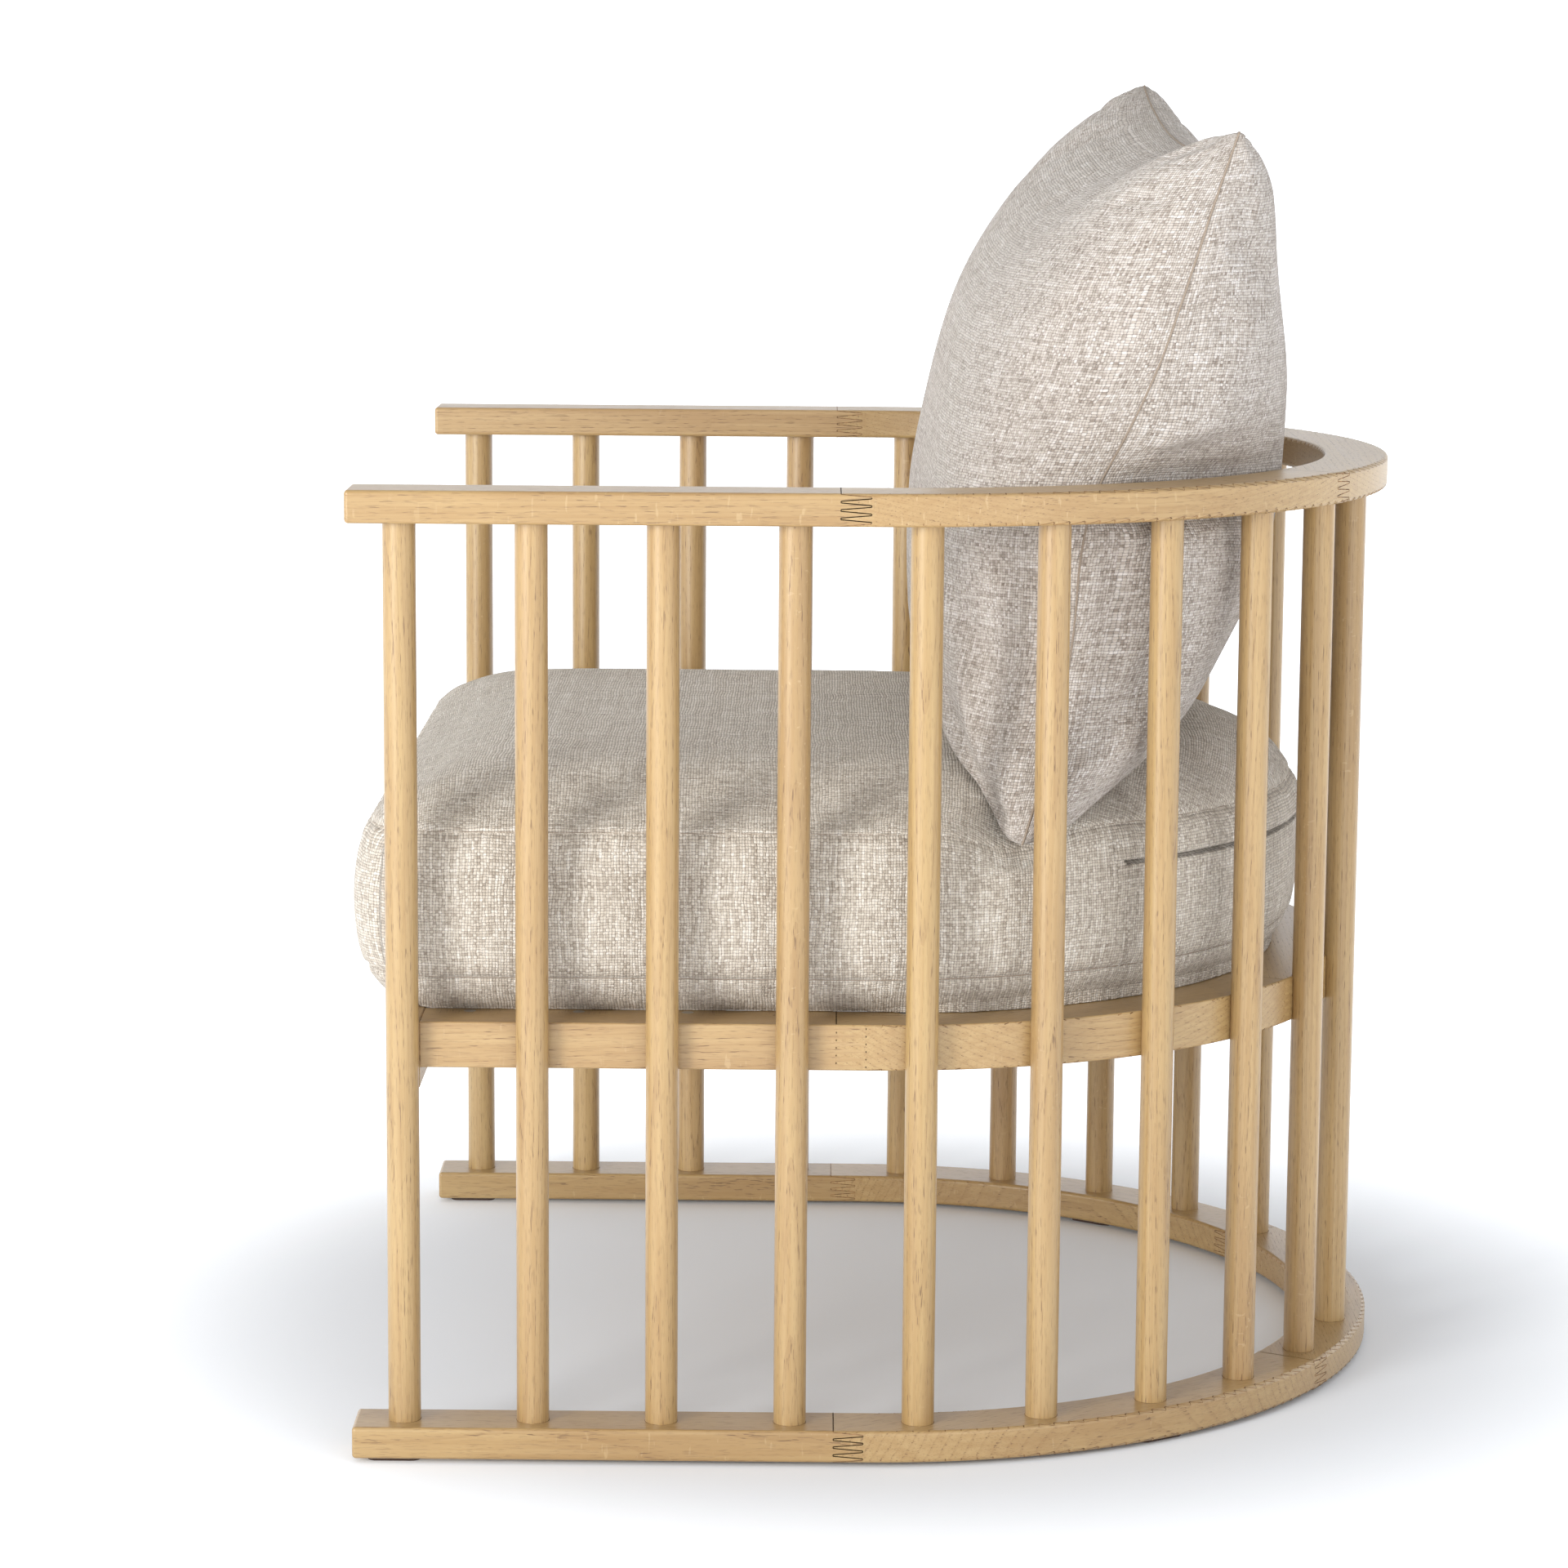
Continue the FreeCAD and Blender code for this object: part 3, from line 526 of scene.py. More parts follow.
def weave(name, pitch, contrast, speckle, streaks, tint):
    """A plain weave of slubby two-tone yarns, pitch metres apart. Speckle is the share of
    colour that changes at each crossing, and streaks the share of slubs that run upwards. Its
    coordinates, in metres along the weft and the warp, come with the mesh as the attribute
    weave."""
    t = Tree(name)
    coords = t.attribute("weave")
    # yarns bend slowly over many threads, and wobble from one thread to the next
    warped = coords
    for scale, detail, reach in ((28.0, 2.0, 2.2), (420.0, 1.0, 0.55)):
        shift = t.vector("SUBTRACT", t.noise(coords, scale, detail)[1], (0.5, 0.5, 0.5))
        warped = t.vector("ADD", warped, t.vector("SCALE", shift, scale=pitch * reach))
    xyz = t.split(warped)
    a = t.math("DIVIDE", xyz[0], pitch)
    b = t.math("DIVIDE", xyz[1], pitch)
    cell_a, cell_b = t.math("FLOOR", a), t.math("FLOOR", b)
    odd = t.math("MODULO", t.math("ABSOLUTE", t.math("ADD", cell_a, cell_b)), 2.0)

    def arch(value, power):
        """0 at a cell's edges and 1 in its middle."""
        hump = t.math("SINE", t.math("MULTIPLY", t.math("FRACT", value), math.pi))
        return t.math("POWER", t.math("MAXIMUM", hump, 0.0001), power)

    warp_over = t.math("MULTIPLY", arch(a, 0.8), arch(b, 0.35))
    weft_over = t.math("MULTIPLY", arch(b, 0.8), arch(a, 0.35))
    height = t.math("ADD", t.math("MULTIPLY", warp_over, t.math("SUBTRACT", 1.0, odd)),
                    t.math("MULTIPLY", weft_over, odd))
    warp_tone = t.white(t.combine(cell_a, 7.3, 1.7))
    weft_tone = t.white(t.combine(3.1, cell_b, 5.9))
    yarn = t.math("ADD", t.math("MULTIPLY", warp_tone, t.math("SUBTRACT", 1.0, odd)),
                  t.math("MULTIPLY", weft_tone, odd))
    crossing = t.white(t.combine(cell_a, cell_b, odd))
    slub_up = t.noise(t.combine(t.math("MULTIPLY", xyz[0], 520.0),
                                t.math("MULTIPLY", xyz[1], 40.0), 0.0), 1.0, 2.0)[0]
    slub_over = t.noise(t.combine(t.math("MULTIPLY", xyz[0], 34.0),
                                  t.math("MULTIPLY", xyz[1], 330.0), 4.0), 1.0, 2.0)[0]
    cloud = t.noise(coords, 22.0, 3.0)[0]
    fibre = t.noise(coords, 2600.0, 2.0)[0]
    value = t.weighted((crossing, speckle), (yarn, YARN_SHARE),
                       (t.between(slub_up, 0.42, 0.75), streaks * 0.38),
                       (t.between(slub_over, 0.42, 0.75), (1.0 - streaks) * 0.28),
                       (t.math("SUBTRACT", cloud, 0.5), 0.06),
                       (t.math("SUBTRACT", fibre, 0.5), 0.18))
    middle = 0.5 * (speckle + YARN_SHARE) + 0.10
    value = t.math("ADD", t.math("MULTIPLY", t.math("SUBTRACT", value, middle), contrast), 0.5)
    colour = t.ramp(value, (0.08, CLOTH_DARK), (0.48, CLOTH_MID), (0.92, CLOTH_PALE))
    # painted shade: the colour darkens to half in the gaps between the yarns, and a painted
    # highlight lightens the yarns' raised middles; tint then scales the whole colour
    painted_gap_shade = t.between(height, 0.0, 0.6, 0.50, 1.12)
    tint_and_gap_shade = t.combine(*(t.math("MULTIPLY", painted_gap_shade, share) for share in tint))
    colour = t.mix(1.0, colour, tint_and_gap_shade, "MULTIPLY")
    t.put(t.shader.inputs["Base Color"], colour)
    t.shader.inputs["Roughness"].default_value = 0.92
    t.shader.inputs["Specular IOR Level"].default_value = 0.2
    t.shader.inputs["Sheen Weight"].default_value = 0.18
    t.shader.inputs["Sheen Roughness"].default_value = 0.5
    relief = t.math("ADD", height, t.math("MULTIPLY", crossing, 0.35))
    t.bump(t.math("ADD", relief, t.math("MULTIPLY", fibre, 0.25)), 0.0009, 0.75)
    return t.material


# A cord along each seam: its shape is the seam's slight ridge, and its colour, darker than the
# cloth, is painted shade of the shadow in the seam's crease.
def seam_shade_cord(name):
    t = Tree(name)
    twist = t.noise(t.position(), 1400.0, 2.0)[0]
    t.put(t.shader.inputs["Base Color"], t.mix(twist, linear(122, 108, 94), linear(166, 151, 135)))
    t.shader.inputs["Roughness"].default_value = 0.9
    t.bump(twist, 0.0003, 0.6)
    return t.material


boxing_cloth = weave("boxing_cloth", pitch=0.00200, contrast=1.0, speckle=0.30, streaks=0.75,
                     tint=(0.82, 0.81, 0.80))
pillow_cloth = weave("pillow_cloth", pitch=0.00190, contrast=1.1, speckle=0.36, streaks=0.45,
                     tint=(0.73, 0.72, 0.745))
seam_cord_shade = seam_shade_cord("seam_shade_cord")


# ---------------------------------------------------------------- seat cushion
HALF = CUSHION_HIGH.x
FRONT = CUSHION_LOW.y
CUSHION_ARC = CUSHION_HIGH.y - HALF
BOTTOM = CUSHION_LOW.z
CORNER = 0.060
LOW_SEAM, TOP_SEAM = BOTTOM + 0.0255, BOTTOM + 0.1250
TOP_INSET = 0.0045              # how far the top seam lies inside the plan
SIDE_BULGE, FRONT_BULGE = 0.0050, 0.007
CROWN, CROWN_REACH, REAR_CROWN = 0.0290, 0.025, 0.007
CROWN_FROM = 0.060              # inside this the rings shrink towards the middle
DENT_X, DENT_Y, DENT_DEEP, DENT_WIDE = 0.322, 0.088, 0.017, 0.034
FINE_VOXEL, COARSE_VOXEL = 0.005, 0.0065


def outline(count):
    """The cushion's plan, as points and outward directions, from the right side round the
    back, anticlockwise."""
    quarter = math.pi / 2
    corner_y = FRONT + CORNER
    runs = [((HALF, corner_y), (HALF, CUSHION_ARC), None),
            ((0.0, CUSHION_ARC), HALF, (0.0, 2 * quarter)),
            ((-HALF, CUSHION_ARC), (-HALF, corner_y), None),
            ((-HALF + CORNER, corner_y), CORNER, (2 * quarter, 3 * quarter)),
            ((-HALF + CORNER, FRONT), (HALF - CORNER, FRONT), None),
            ((HALF - CORNER, corner_y), CORNER, (3 * quarter, 4 * quarter))]
    lengths = [math.dist(a, b) if arc is None else b * (arc[1] - arc[0]) for a, b, arc in runs]
    total = sum(lengths)
    points, outward = [], []
    for i in range(count):
        s = total * i / count
        for (a, b, arc), length in zip(runs, lengths):
            if s < length:
                break
            s -= length
        share = s / length
        if arc is None:
            points.append((a[0] + (b[0] - a[0]) * share, a[1] + (b[1] - a[1]) * share))
            outward.append(((b[1] - a[1]) / length, -(b[0] - a[0]) / length))
        else:
            angle = arc[0] + (arc[1] - arc[0]) * share
            outward.append((math.cos(angle), math.sin(angle)))
            points.append((a[0] + b * math.cos(angle), a[1] + b * math.sin(angle)))
    return np.array(points), np.array(outward)


def inset_of(x, y):
    """How far inside the cushion's outline a point of the plan is."""
    inner_x, inner_y = HALF - CORNER, FRONT + CORNER
    side = HALF - np.abs(x)
    front = np.minimum(side, y - FRONT)
    in_corner = (np.abs(x) > inner_x) & (y < inner_y)
    round_corner = CORNER - np.hypot(np.abs(x) - inner_x, y - inner_y)
    front = np.where(in_corner, round_corner, front)
    back = HALF - np.hypot(x, y - CUSHION_ARC)
    return np.where(y > CUSHION_ARC, back, front)


def outward_at(x, y):
    """The direction, at points of the plan, straight out to the nearest edge."""
    step = 0.0005
    east = inset_of(x - step, y) - inset_of(x + step, y)
    north = inset_of(x, y - step) - inset_of(x, y + step)
    length = np.maximum(np.hypot(east, north), 1e-9)
    return np.column_stack([east / length, north / length])


def along_outline(x, y):
    """Distance round the outline of the nearest point on it, from the right front."""
    straight = CUSHION_ARC - FRONT
    turn = np.arctan2(y - CUSHION_ARC, x)
    back = straight + HALF * turn
    right = y - FRONT
    left = 2 * straight + math.pi * HALF - (y - FRONT)
    front = x - HALF
    nearer_front = (y - FRONT) < (HALF - np.abs(x))
    sides = np.where(nearer_front, front, np.where(x > 0, right, left))
    return np.where(y > CUSHION_ARC, back, sides)


def crown_height(inset, y):
    """Height above the top seam; the crown is fuller towards the back."""
    rear = smooth(0.08, 0.26, y)
    tall, reach = CROWN + REAR_CROWN * rear, CROWN_REACH - REAR_CROWN * rear
    return tall * (1.0 - np.exp(-np.clip(inset, 0.0, None) / reach))


def corner_dent(x, y):
    """How far the pillow's lower corners press the seat cushion's edge down."""
    away = np.hypot(np.abs(x) - DENT_X, y - DENT_Y)
    return DENT_DEEP * np.exp(-((away / DENT_WIDE) ** 2))


def cushion_shape(shrink):
    """The cushion as rings from the middle of its base, over the boxing, to its crown. Each
    ring of the section is an inset from the plan, and a height."""
    count = 300
    plan, outward = outline(count)
    tall = TOP_SEAM - LOW_SEAM
    section = [(CROWN_FROM, BOTTOM), (0.042, BOTTOM), (0.030, BOTTOM), (0.0250, BOTTOM + 0.0006),
               (0.0195, BOTTOM + 0.0032), (0.0150, BOTTOM + 0.0072), (0.0112, BOTTOM + 0.0120),
               (0.0080, BOTTOM + 0.0172), (0.0056, BOTTOM + 0.0220), (0.0042, LOW_SEAM)]
    for step in range(1, 12):
        share = step / 12
        bulge = SIDE_BULGE * (4.0 * share * (1.0 - share)) ** 0.7
        section.append((0.0035 + 0.0005 * share - bulge, LOW_SEAM + tall * share))
    section.append((TOP_INSET, TOP_SEAM))
    for inset in (0.0065, 0.010, 0.015, 0.021, 0.029, 0.038, 0.048, CROWN_FROM):
        lift = 0.0045 * math.exp(-(((inset - 0.014) / 0.010) ** 2))
        section.append((inset, TOP_SEAM + lift))
    rings = []
    middle = np.array([0.0, -0.02])
    inner = plan - outward * CROWN_FROM
    for share in (0.96, 0.75, 0.5, 0.25):
        rings.append(np.column_stack([inner * (1 - share) + middle * share,
                                      np.full(count, BOTTOM)]))
    for inset, z in section:
        ring = plan - outward * (inset + shrink)
        rise = crown_height(inset - TOP_INSET, ring[:, 1]) if z > TOP_SEAM else 0.0
        rings.append(np.column_stack([ring, np.full(count, z) + rise]))
    for share in (0.12, 0.26, 0.42, 0.60, 0.78, 0.92):
        ring = inner * (1 - share) + middle * share
        inset = inset_of(ring[:, 0], ring[:, 1])
        height = TOP_SEAM + crown_height(inset - TOP_INSET, ring[:, 1])
        rings.append(np.column_stack([ring, height]))
    points = np.vstack(rings)
    rise = np.clip((points[:, 2] - BOTTOM) / (TOP_SEAM + 0.012 - BOTTOM), 0.0, 1.0)
    points[:, 1] -= (FRONT_BULGE * np.sin(math.pi * rise) ** 0.8
                     * smooth(FRONT + 0.09, FRONT + 0.01, points[:, 1]))
    faces = []
    for i in range(len(rings) - 1):
        for k in range(count):
            m = (k + 1) % count
            faces.append((i * count + k, i * count + m, (i + 1) * count + m,
                          (i + 1) * count + k))
    faces.append(tuple(range(count))[::-1])
    faces.append(tuple(range((len(rings) - 1) * count, len(rings) * count)))
    return points, faces


points, faces = cushion_shape(shrink=0.0015)
cushion = new_object("seat_cushion", points, faces, boxing_cloth)
apply_modifier(cushion, "REMESH", mode="VOXEL",
               voxel_size=FINE_VOXEL)
cushion.data.materials.clear()
cushion.data.materials.append(boxing_cloth)
found = points_of(cushion)
edge = inset_of(found[:, 0], found[:, 1])
near_side = np.exp(-((np.clip(edge, 0.0, None) / 0.012) ** 2))
held = (np.exp(-(((found[:, 2] - TOP_SEAM) / 0.004) ** 2)) * near_side
        + np.exp(-(((found[:, 2] - LOW_SEAM) / 0.004) ** 2)) * near_side)
held = np.maximum(held, (found[:, 2] < BOTTOM + 0.004).astype(float))
inflate(cushion, np.clip(held, 0.0, 1.0), pressure=3.0, grow=0.004, cap=0.010)
apply_modifier(cushion, "SMOOTH", factor=0.5, iterations=2)
apply_modifier(cushion, "SUBSURF", levels=1, render_levels=1)


PUCKER_PITCH, PUCKER_DEEP = 0.021, 0.0007
GROOVE_WIDE = 0.0024


def seam_groove(obj, z, depth, width):
    """Draws the boxing's seam in, with small uneven puckers to each side of it."""
    points = points_of(obj)
    inset = inset_of(points[:, 0], points[:, 1])
    near = np.exp(-((np.clip(inset - 0.004, 0.0, None) / 0.006) ** 2))
    across = points[:, 2] - z
    run = along_outline(points[:, 0], points[:, 1])
    pucker = (np.sin(run * 2 * math.pi / PUCKER_PITCH + 1.7 * np.sin(run * 31.0))
              * np.exp(-((across / 0.012) ** 2)) * smooth(0.0, 0.003, np.abs(across)))
    pull = depth * np.exp(-((across / width) ** 2)) - PUCKER_DEEP * pucker
    put_points(obj, points - normals_of(obj) * (pull * near)[:, None])


def flatten_base(obj):
    """The cushion lies flat on the slats, apart from its rounded lower edge."""
    points = points_of(obj)
    inset = inset_of(points[:, 0], points[:, 1])
    flat_from = 0.0255 - 0.0090 * smooth(-0.03, 0.06, points[:, 1])
    low = (points[:, 2] < BOTTOM + 0.010) & (inset > flat_from)
    points[low, 2] = BOTTOM
    points[:, 2] = np.maximum(points[:, 2], BOTTOM)
    put_points(obj, points)


def press_corners(obj):
    """Presses the cushion's top down under the pillow's lower corners."""
    points = points_of(obj)
    share = smooth(TOP_SEAM - 0.030, TOP_SEAM, points[:, 2])
    points[:, 2] -= corner_dent(points[:, 0], points[:, 1]) * share
    put_points(obj, points)


seam_groove(cushion, TOP_SEAM, depth=0.0014, width=GROOVE_WIDE)
seam_groove(cushion, LOW_SEAM, depth=0.0018, width=GROOVE_WIDE)
flatten_base(cushion)


BOXING_LAYER = 0.37             # keeps the boxing's pattern apart from the top's


def cushion_weave(obj):
    """Weave coordinates: plan on the top and base, run by height on the boxing. On the crown's
    slope they spread with the height, so that the threads keep their distance."""
    where, centre, _ = corner_arrays(obj)
    centre_inset = inset_of(centre[:, 0], centre[:, 1])
    boxing = (centre[:, 2] < TOP_SEAM) & (centre_inset < 0.026)
    run = along_outline(where[:, 0], where[:, 1])
    run_centre = along_outline(centre[:, 0], centre[:, 1])
    whole = 2 * (CUSHION_ARC - FRONT) + math.pi * HALF + 2 * HALF
    run = np.where(run - run_centre > whole / 2, run - whole, run)
    run = np.where(run_centre - run > whole / 2, run + whole, run)
    inset = np.clip(inset_of(where[:, 0], where[:, 1]), 0.0, None)
    rise = where[:, 2] - np.where(where[:, 2] < LOW_SEAM, inset, 0.0)
    plan = np.column_stack([where[:, 0], where[:, 1], np.zeros(len(where))])
    fall = np.where(centre[:, 2] > TOP_SEAM, TOP_SEAM + CROWN - where[:, 2], 0.0)
    fall *= smooth(0.10, 0.045, inset)
    plan[:, :2] += outward_at(where[:, 0], where[:, 1]) * (0.7 * fall)[:, None]
    sides = np.column_stack([run, rise, np.full(len(where), BOXING_LAYER)])
    set_weave(obj, np.where(boxing[:, None], sides, plan))


cushion_weave(cushion)
press_corners(cushion)


def surface_finder(obj):
    """Returns a function that looks for the obj's surface along a ray."""
    mesh = obj.data
    tree = BVHTree.FromPolygons([v.co.copy() for v in mesh.vertices],
                                [tuple(p.vertices) for p in mesh.polygons])

    def find(origin, direction, fallback):
        hit = tree.ray_cast(Vector(origin), Vector(direction).normalized())
        return np.array(hit[0]) if hit[0] is not None else np.array(fallback)
    return find


cushion_surface = surface_finder(cushion)
plan, outward = outline(900)


def boxing_line(z, lift):
    """Points round the boxing at a height, moved out by lift."""
    line = []
    for (x, y), (nx, ny) in zip(plan, outward):
        origin = (x + nx * 0.05, y + ny * 0.05, z)
        hit = cushion_surface(origin, (-nx, -ny, 0.0), (x, y, z))
        line.append(hit + np.array((nx, ny, 0.0)) * lift)
    return np.array(line)


def soften(line):
    """Evens out a closed row of points."""
    for _ in range(3):
        line = (np.roll(line, 1, axis=0) + 2 * line + np.roll(line, -1, axis=0)) / 4
    return line


top_line = boxing_line(TOP_SEAM, lift=-0.0003)
top_line[:, 2] -= corner_dent(top_line[:, 0], top_line[:, 1])
low_line = boxing_line(LOW_SEAM, lift=-0.0003)
# painted shade: the dark cords along the top and low seams stand for the shadow in the seams'
# creases
seams = [tube("seat_cushion_seam_top", soften(top_line), radius=0.0004, material=seam_cord_shade),
         tube("seat_cushion_seam_low", soften(low_line), radius=0.0005, material=seam_cord_shade)]


# ---------------------------------------------------------------- lap over the zip
LAP_START, LAP_SWEEP = math.radians(33.0), math.radians(114.0)
LAP_TALL, LAP_THICK = 0.0245, 0.0020
ZIP_Z, ZIP_HALF_TALL, ZIP_HALF_SWEEP = 0.4054, 0.0078, 55.0
ZIP_FLOOR, ZIP_DEEP, ZIP_WALL = 0.3262, 0.010, 0.0020
ZIP_REACH = 0.30                # points nearer the middle than this stay where they are


def zip_channel(obj):
    """Sinks the boxing behind the zip's tape and slider; the lap covers the hollow."""
    points = points_of(obj)
    off_y = points[:, 1] - CUSHION_ARC
    radius = np.hypot(points[:, 0], off_y)
    angle = np.degrees(np.arctan2(off_y, points[:, 0]))
    beyond = np.maximum(np.abs(points[:, 2] - ZIP_Z) - ZIP_HALF_TALL, 0.0) / ZIP_WALL
    aside = np.maximum(np.abs(angle - 90.0) - ZIP_HALF_SWEEP, 0.0)
    limit = ZIP_FLOOR + ZIP_DEEP * (beyond + aside)
    scale = np.where(radius > limit, limit / np.maximum(radius, 1e-6), 1.0)
    scale = np.where(radius > ZIP_REACH, scale, 1.0)
    points[:, 0] *= scale
    points[:, 1] = CUSHION_ARC + off_y * scale
    put_points(obj, points)


def zip_lap():
    """A folded flap of the cover's cloth, sewn in with the top seam, that hides the zip."""
    around, down = 260, 14
    tip_z = TOP_SEAM - LAP_TALL
    points, coords = [], []
    for i in range(around + 1):
        angle = LAP_START + LAP_SWEEP * i / around
        nx, ny = math.cos(angle), math.sin(angle)
        radii = []
        for z in (tip_z - 0.002, TOP_SEAM - 0.0015):
            origin = (nx * (HALF + 0.05), CUSHION_ARC + ny * (HALF + 0.05), z)
            hit = cushion_surface(origin, (-nx, -ny, 0.0),
                                  (nx * HALF, CUSHION_ARC + ny * HALF, z))
            radii.append(math.hypot(hit[0], hit[1] - CUSHION_ARC))
        lift = 0.0003 * math.sin(angle * 47.0) + 0.0002 * math.sin(angle * 23.0 + 1.0)
        end = min(smooth(0.0, 0.02, i / around), smooth(0.0, 0.02, 1.0 - i / around))
        ring = []
        for side in (1, -1):
            for k in range(down + 1):
                share = k / down if side > 0 else 1.0 - k / down
                z = TOP_SEAM - 0.0012 - (LAP_TALL - 0.0012) * share
                base = radii[1] * (1 - share) + radii[0] * share + 0.0016 * math.sin(
                    math.pi * share)
                out = smooth(0.0, 0.18, share) * (LAP_THICK + 0.0004 + lift) * (0.35 + 0.65 * end)
                if share > 0.93:
                    out *= math.sqrt(max(0.0, 1.0 - ((share - 0.93) / 0.07) ** 2)) * 0.8 + 0.2
                r = base + (out if side > 0 else max(0.0002, out - LAP_THICK) - 0.0006)
                ring.append((nx * r, CUSHION_ARC + ny * r, z))
                coords.append((CUSHION_ARC - FRONT + HALF * angle, z, BOXING_LAYER))
        points.extend(ring)
    per = 2 * (down + 1)
    faces = []
    for i in range(around):
        for k in range(per):
            m = (k + 1) % per
            faces.append((i * per + k, i * per + m, (i + 1) * per + m, (i + 1) * per + k))
    faces.append(tuple(range(per))[::-1])
    faces.append(tuple(range(around * per, (around + 1) * per)))
    lap = new_object("seat_cushion_zip_lap", points, faces, boxing_cloth)
    corners = corner_arrays(lap)[2]
    set_weave(lap, np.array(coords)[corners])
    return lap


lap = zip_lap()
zip_channel(cushion)


# ---------------------------------------------------------------- back pillow
ROOM = ARC_RADIUS - 0.025       # the pillow's reach inside the top rail
RAIL_BAND = (634, 662)          # heights at which the top rail holds the pillow in, in mm
REST_GAP = 1.5                  # between the pillow and the seat cushion, in mm
SEAM_STEPS = 60


def seat_top(x, y):
    """Height of the seat cushion's top."""
    return TOP_SEAM + crown_height(inset_of(x, y), y) - corner_dent(x, y)


def pillow_surface():
    """The pillow's two panels over a square of (across, up), each -1 to 1: the seam between
    them runs round the square's edge. The lower corners sag, the rails push the sides in,
    and the pillow rests on the seat cushion. Lengths in millimetres until the last line."""
    line = np.sin(np.linspace(-1.0, 1.0, 2 * SEAM_STEPS + 1) * math.pi / 2)
    line = 0.6 * line + 0.4 * np.linspace(-1.0, 1.0, 2 * SEAM_STEPS + 1)
    across, up = np.meshgrid(line, line, indexing="ij")
    corner = np.abs(across)
    # where the seam runs along the top and the bottom: the pillow leans back and to one side
    top_z = 881 + 26 * corner ** 2.2 - 13.4 * across
    top_y = 214 + 10.5 * across
    low_z = 435 - 13.4 * across - 4 * corner ** 3
    low_y = 92 + 8 * across - 14 * corner ** 3
    share = (up + 1) / 2
    z = low_z + (top_z - low_z) * share
    y = low_y + (top_y - low_y) * share
    # wider at its corners, the lower ones most; its side seams bow forward beside the rail
    half_width = 290 + 13 * smooth(0.3, 1.0, up) + 36 * smooth(0.35, 1.0, -up) ** 1.5
    x = half_width * across
    y = y - 20 * corner ** 2 * np.exp(-(((z - 635) / 75) ** 2))
    # how full each panel is near the seam, and how deep it is in its middle
    blunt = np.where(up > 0, 0.33 - 0.02 * corner ** 2, 0.38 - 0.04 * corner ** 2)
    plump = (np.clip(1 - np.abs(up) ** 2.8, 0, None) ** blunt
             * np.clip(1 - corner ** 2.8, 0, None) ** 0.37)
    front = np.where(up > 0, 116 + 10 * np.sin(math.pi * np.clip(up, 0, None)), 116 + 30 * up)
    front = front - 7 * smooth(0.4, 0.9, up)
    back = 107 + 20 * np.cos(math.pi * (up + 0.4) / 1.2) - np.where(up > 0, 10 * up, 0)
    back = back - 17 * smooth(0.25, 0.85, up) - 7 * np.exp(-(((up + 0.55) / 0.2) ** 2))
    panels = []
    for side, depth in ((1, front), (-1, back)):
        px = x.copy()
        py = y - side * depth * plump * math.cos(math.radians(6))
        pz = z.copy()
        beyond = np.maximum(0, np.maximum(RAIL_BAND[0] - pz, pz - RAIL_BAND[1]))
        limit = ROOM * 1000 + beyond * 0.8
        reach = np.hypot(px, np.maximum(py - ARC_Y * 1000, 0))
        scale = np.where(reach > limit, limit / np.maximum(reach, 1), 1)
        behind = py > ARC_Y * 1000
        px = np.where(behind, px * scale, np.clip(px, -limit, limit))
        py = np.where(behind, ARC_Y * 1000 + (py - ARC_Y * 1000) * scale, py)
        pz = np.maximum(pz, seat_top(px / 1000, py / 1000) * 1000 + REST_GAP)
        panels.append(np.stack([px, py, pz], axis=-1) / 1000)
    return panels


def pillow_mesh():
    """The pillow, its points' hold on the seam, and the numbers of its front panel's points."""
    front, back = pillow_surface()
    size = front.shape[0]
    seam = np.zeros((size, size), bool)
    seam[0, :] = seam[-1, :] = seam[:, 0] = seam[:, -1] = True
    back[seam] = front[seam]
    index_front = np.arange(size * size).reshape(size, size)
    index_back = index_front.copy()
    index_back[~seam] = size * size + np.arange((~seam).sum())
    points = np.vstack([front.reshape(-1, 3), back[~seam]])
    faces, coords = [], []
    for panel, index, shift in ((front, index_front, 0.0), (back, index_back, 0.9)):
        step_s = np.linalg.norm(np.diff(panel, axis=0), axis=2)
        step_t = np.linalg.norm(np.diff(panel, axis=1), axis=2)
        s = np.vstack([np.zeros((1, size)), np.cumsum(step_s, axis=0)])
        t = np.hstack([np.zeros((size, 1)), np.cumsum(step_t, axis=1)])
        s = s - s[size // 2][None, :]
        t = t - t[:, size // 2][:, None]
        s = 0.5 * s + 0.5 * s.mean(axis=1)[:, None]
        t = 0.5 * t + 0.5 * t.mean(axis=0)[None, :]
        for i in range(size - 1):
            for j in range(size - 1):
                ring = [(i, j), (i + 1, j), (i + 1, j + 1), (i, j + 1)]
                if shift:
                    ring.reverse()
                faces.append(tuple(int(index[r]) for r in ring))
                coords.extend((s[r] + shift, t[r], shift) for r in ring)
    pillow = new_object("back_pillow", points, faces, pillow_cloth)
    set_weave(pillow, coords)
    rim = np.zeros(len(points))
    rim[index_front[seam]] = 1.0
    return pillow, rim, index_front


def crease(obj):
    """Soft folds that run out of the pillow's lower corners, and the crease above the rail."""
    points = points_of(obj)
    side = smooth(0.17, 0.27, np.abs(points[:, 0]))
    back, up = points[:, 1] - 0.070, points[:, 2] - 0.425
    away = np.hypot(back, up)
    turn = np.arctan2(up, back)
    fade = smooth(0.015, 0.07, away) * smooth(0.27, 0.10, away)
    folds = 0.0021 * np.sin(turn * 15.0 + 1.3 * np.sin(turn * 6.0 + 1.0)) * fade * side
    level = 0.681 + 0.004 * np.sin(points[:, 1] * 60.0)
    pinch = np.exp(-(((points[:, 2] - level) / 0.0065) ** 2)) * smooth(0.12, 0.15, points[:, 1])
    put_points(obj, points + normals_of(obj) * (folds - 0.0030 * pinch * side)[:, None])


